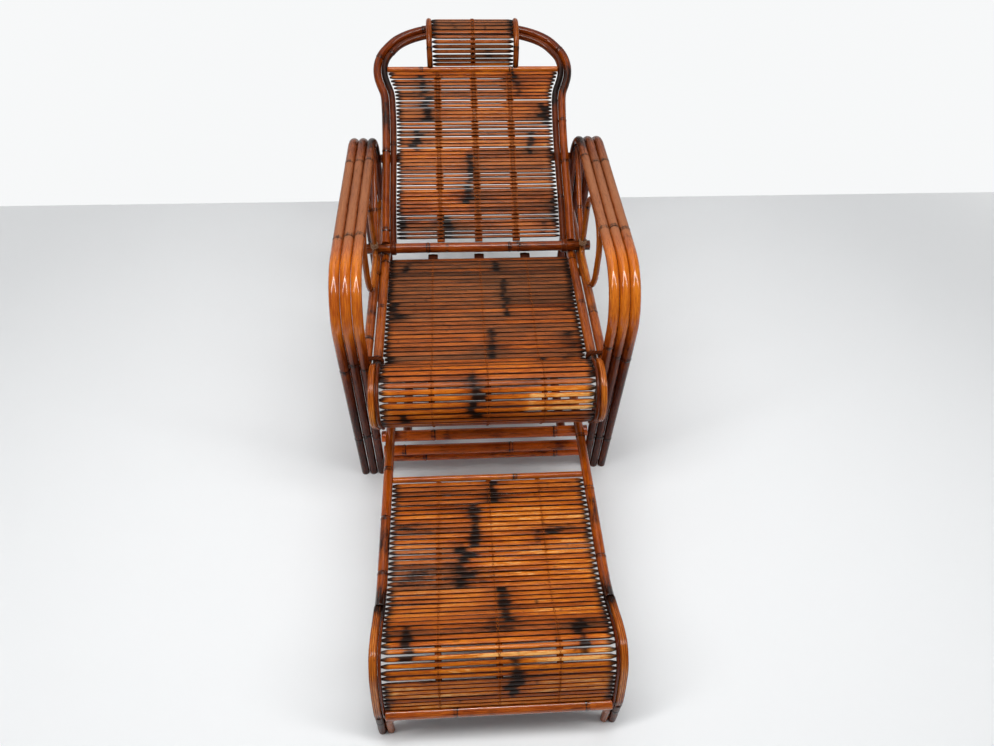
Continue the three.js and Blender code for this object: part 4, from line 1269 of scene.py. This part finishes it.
def build_top_bar():
    half = inside_half(TOP_BAR_S) - GAP
    path = bowed(on_back(-half, TOP_BAR_S, 0), on_back(half, TOP_BAR_S, 0), GAP, back_face)
    dress("back_top_bamboo", "back", "back_top_bar", "dark_bamboo", pole_skin,
          pole(path, TOP_BAR_RADIUS, [0.09, 0.33], 0.75, sides=CANE_SIDES, normal=back_face))


def build_headrest():
    line = hoop_line()
    for side, sign in SIDES.items():
        path = [on_back(sign * HOOP["x"], s, h) for s, h in line]
        dress("headrest_bow_" + side, "back", "headrest_hoop_" + side, "laminated_cane", cane_skin,
              pole(path, HOOP["radius"], [0.05], 0.45, HOOP_BURNS, sides=CANE_SIDES))
    field_line = Line([on_back(0, s, h) for s, h in line])
    half = HOOP["x"] - HOOP["radius"] - GAP
    start, count = HEAD_SLATS["start"], HEAD_SLATS["count"]
    end = start + count * HEAD_SLATS["pitch"]
    field = Field("headrest", field_line, start, end, count, lambda a, b: half,
                  (HEAD_GAPS, HEAD_TONES, HEAD_MARKS), HEAD_SLATS["gaps"])
    build_slats(field, "back")
    build_batten("headrest_batten_strip", None, "back", field_line, 0, start, end, 0.5, slat_skin)
    build_ties(field, "back", {"middle": 0}, 0.7, *HEAD_TIE)


# Frame of the footrest

FOOT_RAIL_NODES = {"left": [0.08, 0.21, 0.34], "right": [0.1, 0.27, 0.42]}
FOOT_RAIL_BURN = {"left": 0.15, "right": 0.21}
RAIL_PLACES = 90
BAND_PLACES = 70
APRON_SHOULDER = 30 * MM


def along_foot(start, end, count, x):
    """Part of the footrest's side line, at a place across the chair."""
    return across([foot_line.at(s)[1:] for s in np.linspace(start, end, count)], x)


def build_foot_rail(side, sign, neck):
    thick = pole(along_foot(neck, foot_line.length, RAIL_PLACES, sign * FOOT_RAIL_X), RAIL_RADIUS,
                 FOOT_RAIL_NODES[side], 0.62, [(0, 0.05, 0.9), (FOOT_RAIL_BURN[side], 0.05, 0.6)])
    thin = sweep(along_foot(0, neck + BAND_DEPTH, BAND_PLACES, sign * FOOT_STRIP["x"]),
                 band_section(FOOT_STRIP), node_look([], 0.35, burns=[(neck, 0.07, 0.95)]))
    dress("footrest_rail_pole_" + side, "footrest", "footrest_rail_" + side, "pole_bamboo", pole_skin,
          thick, thin)


def build_foot_band(side, sign, neck):
    # The band is paler from 0.08 to 0.2 m. This is partly the cane's own colour and partly a painted
    # highlight on its ridges.
    tones = ([0, 0.08, 0.2, neck], [0.45, 0.74, 0.72, 0.4])
    look = band_look(FOOT_BAND["width"], tones, [(neck, 0.03, 0.85), (0, 0.02, 0.6)])
    dress("foot_band_" + side, "footrest", "footrest_scroll_band_" + side, "laminated_cane", cane_skin,
          sweep(along_foot(0, neck - 2 * GAP, BAND_PLACES, sign * FOOT_BAND["x"]), band_section(FOOT_BAND),
                look))


def build_apron():
    low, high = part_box("footrest_apron_pole")
    radius = (high.y - low.y) / 2
    y = (low.y + high.y) / 2
    x, z = high.x - radius - APRON_SHOULDER, high.z - radius - APRON_SHOULDER
    half = [np.array([x + APRON_SHOULDER, y, 0])]
    half += [np.array([x + APRON_SHOULDER * math.cos(t), y, z + APRON_SHOULDER * math.sin(t)])
             for t in np.radians(np.linspace(0, RIGHT_ANGLE, 13))]
    path = half + [p * np.array([-1, 1, 1]) for p in reversed(half)]
    dress("foot_apron_bamboo", "footrest", "footrest_apron_pole", "pole_bamboo", pole_skin,
          pole(path, radius, [0.12, 0.33], 0.55, worn=0.45, sides=CANE_SIDES, normal=(0, 1, 0), floor=True))


# Stage, light and camera

WALL_Y = 1.085
FLOOR_REACH = 9
FLOOR_FADE = (1.5, 3.2)
FLOOR_COLOUR = (0.86, 0.87, 0.875, 1)
WALL_COLOUR = (0.8, 0.8, 0.8, 1)
WHITE = (0.93, 0.94, 0.945, 1)
SKY = ((0.93, 0.96, 1.0, 1), 0.17)
STRIP_LAMP = (0.32, 2.6)
LAMPS = {  # place, target, size, watts
    "left_lamp": ((-0.95, -0.75, 2.5), (-0.5, -0.6, 0.2), STRIP_LAMP, 36),
    "right_lamp": ((1.05, -0.75, 2.5), (0.5, -0.6, 0.2), STRIP_LAMP, 33),
    "ceiling_lamp": ((-0.2, 0.5, 3.0), (0, 0.1, 0.3), (2.2, 1.6), 13),
}
CAMERA_AT = (-0.0605, -1.2618, 1.5409)
CAMERA_YAW = -4.42
CAMERA_PITCH = 46.72
CAMERA_ROLL = 1.68
CAMERA_LENS = 26.23
CAMERA_SENSOR = 36


def plane(name, corners, material):
    mesh = bpy.data.meshes.new(name)
    mesh.from_pydata(corners, [], [(0, 1, 2, 3)])
    mesh.materials.append(material)
    sheet = bpy.data.objects.new(name, mesh)
    bpy.context.scene.collection.objects.link(sheet)


def seen_white(tree, other, share=1.0):
    """The other shader, but plain white where the camera looks straight at it, or a share of that."""
    glow = new_node(tree, "ShaderNodeEmission", Color=WHITE)
    seen = math_node(tree, "MULTIPLY", new_node(tree, "ShaderNodeLightPath").outputs["Is Camera Ray"], share)
    return mix_shader(tree, seen, other, glow.outputs[0])


def build_floor():
    """A plain pale floor that ends in white."""
    paint, tree = node_tree("floor_paint")
    matt = new_node(tree, "ShaderNodeBsdfDiffuse", Color=FLOOR_COLOUR)
    spot = new_node(tree, "ShaderNodeNewGeometry").outputs["Position"]
    distance = new_node(tree, "ShaderNodeVectorMath", operation="LENGTH", Vector=spot).outputs["Value"]
    finish_surface(tree, seen_white(tree, matt.outputs[0], map_range(tree, distance, *FLOOR_FADE)))
    reach = FLOOR_REACH
    plane("floor", [(-reach, -reach, 0), (reach, -reach, 0), (reach, reach, 0), (-reach, reach, 0)], paint)


def build_wall():
    """A white wall that is clear when it is seen from behind."""
    paint, tree = node_tree("wall_paint")
    matt = new_node(tree, "ShaderNodeBsdfDiffuse", Color=WALL_COLOUR)
    clear = new_node(tree, "ShaderNodeBsdfTransparent")
    behind = new_node(tree, "ShaderNodeNewGeometry").outputs["Backfacing"]
    finish_surface(tree, mix_shader(tree, behind, seen_white(tree, matt.outputs[0]), clear.outputs[0]))
    reach = FLOOR_REACH
    plane("wall", [(-reach, WALL_Y, 0), (reach, WALL_Y, 0), (reach, WALL_Y, reach), (-reach, WALL_Y, reach)],
          paint)


def add_lamp(name, place_at, target, size, power):
    data = bpy.data.lights.new(name, "AREA")
    data.shape = "RECTANGLE"
    data.size, data.size_y = size
    data.energy = power
    lamp = bpy.data.objects.new(name, data)
    lamp.location = place_at
    lamp.rotation_euler = (Vector(target) - Vector(place_at)).to_track_quat("-Z", "Y").to_euler()
    bpy.context.scene.collection.objects.link(lamp)


def build_light():
    """A faint even sky that the camera sees as white, two strip lamps and a lamp over the chair."""
    world = bpy.data.worlds.new("soft_sky")
    world.use_nodes = True
    tree = world.node_tree
    tree.nodes.clear()
    sky = new_node(tree, "ShaderNodeBackground", Color=SKY[0], Strength=SKY[1]).outputs[0]
    shown = new_node(tree, "ShaderNodeBackground", Color=WHITE, Strength=1.0).outputs[0]
    seen = new_node(tree, "ShaderNodeLightPath").outputs["Is Camera Ray"]
    new_node(tree, "ShaderNodeOutputWorld", Surface=mix_shader(tree, seen, sky, shown))
    bpy.context.scene.world = world
    for name, lamp in LAMPS.items():
        add_lamp(name, *lamp)


def build_camera():
    """The camera at the photo's place, turned about, tipped down and rolled."""
    data = bpy.data.cameras.new("photo_camera")
    data.lens = CAMERA_LENS
    data.sensor_width = CAMERA_SENSOR
    data.sensor_fit = "HORIZONTAL"
    camera = bpy.data.objects.new("photo_camera", data)
    camera.matrix_world = Matrix.Translation(CAMERA_AT)
    for angle, axis in ((CAMERA_YAW, "Z"), (RIGHT_ANGLE - CAMERA_PITCH, "X"), (CAMERA_ROLL, "Z")):
        camera.matrix_world = camera.matrix_world @ Matrix.Rotation(math.radians(angle), 4, axis)
    bpy.context.scene.collection.objects.link(camera)
    bpy.context.scene.camera = camera


build_camera()
build_floor()
build_wall()
build_light()
build_arms()
build_cross_poles()
build_side_curves()
for side in SIDES:
    wrap_loop(side)
    wrap_neck(side)
for side in SIDES:
    build_seat_rail(side)
    build_seat_band(side)
build_seat()
build_back_slats()
build_arch()
build_top_bar()
build_headrest()
foot_neck = float(np.interp(FOOT_NECK_Y + shift_y, foot_line.points[:, 1], foot_line.marks))
for side, sign in SIDES.items():
    build_foot_rail(side, sign, foot_neck)
    build_foot_band(side, sign, foot_neck)
build_foot()
build_apron()
bpy.context.scene.view_settings.view_transform = "Standard"
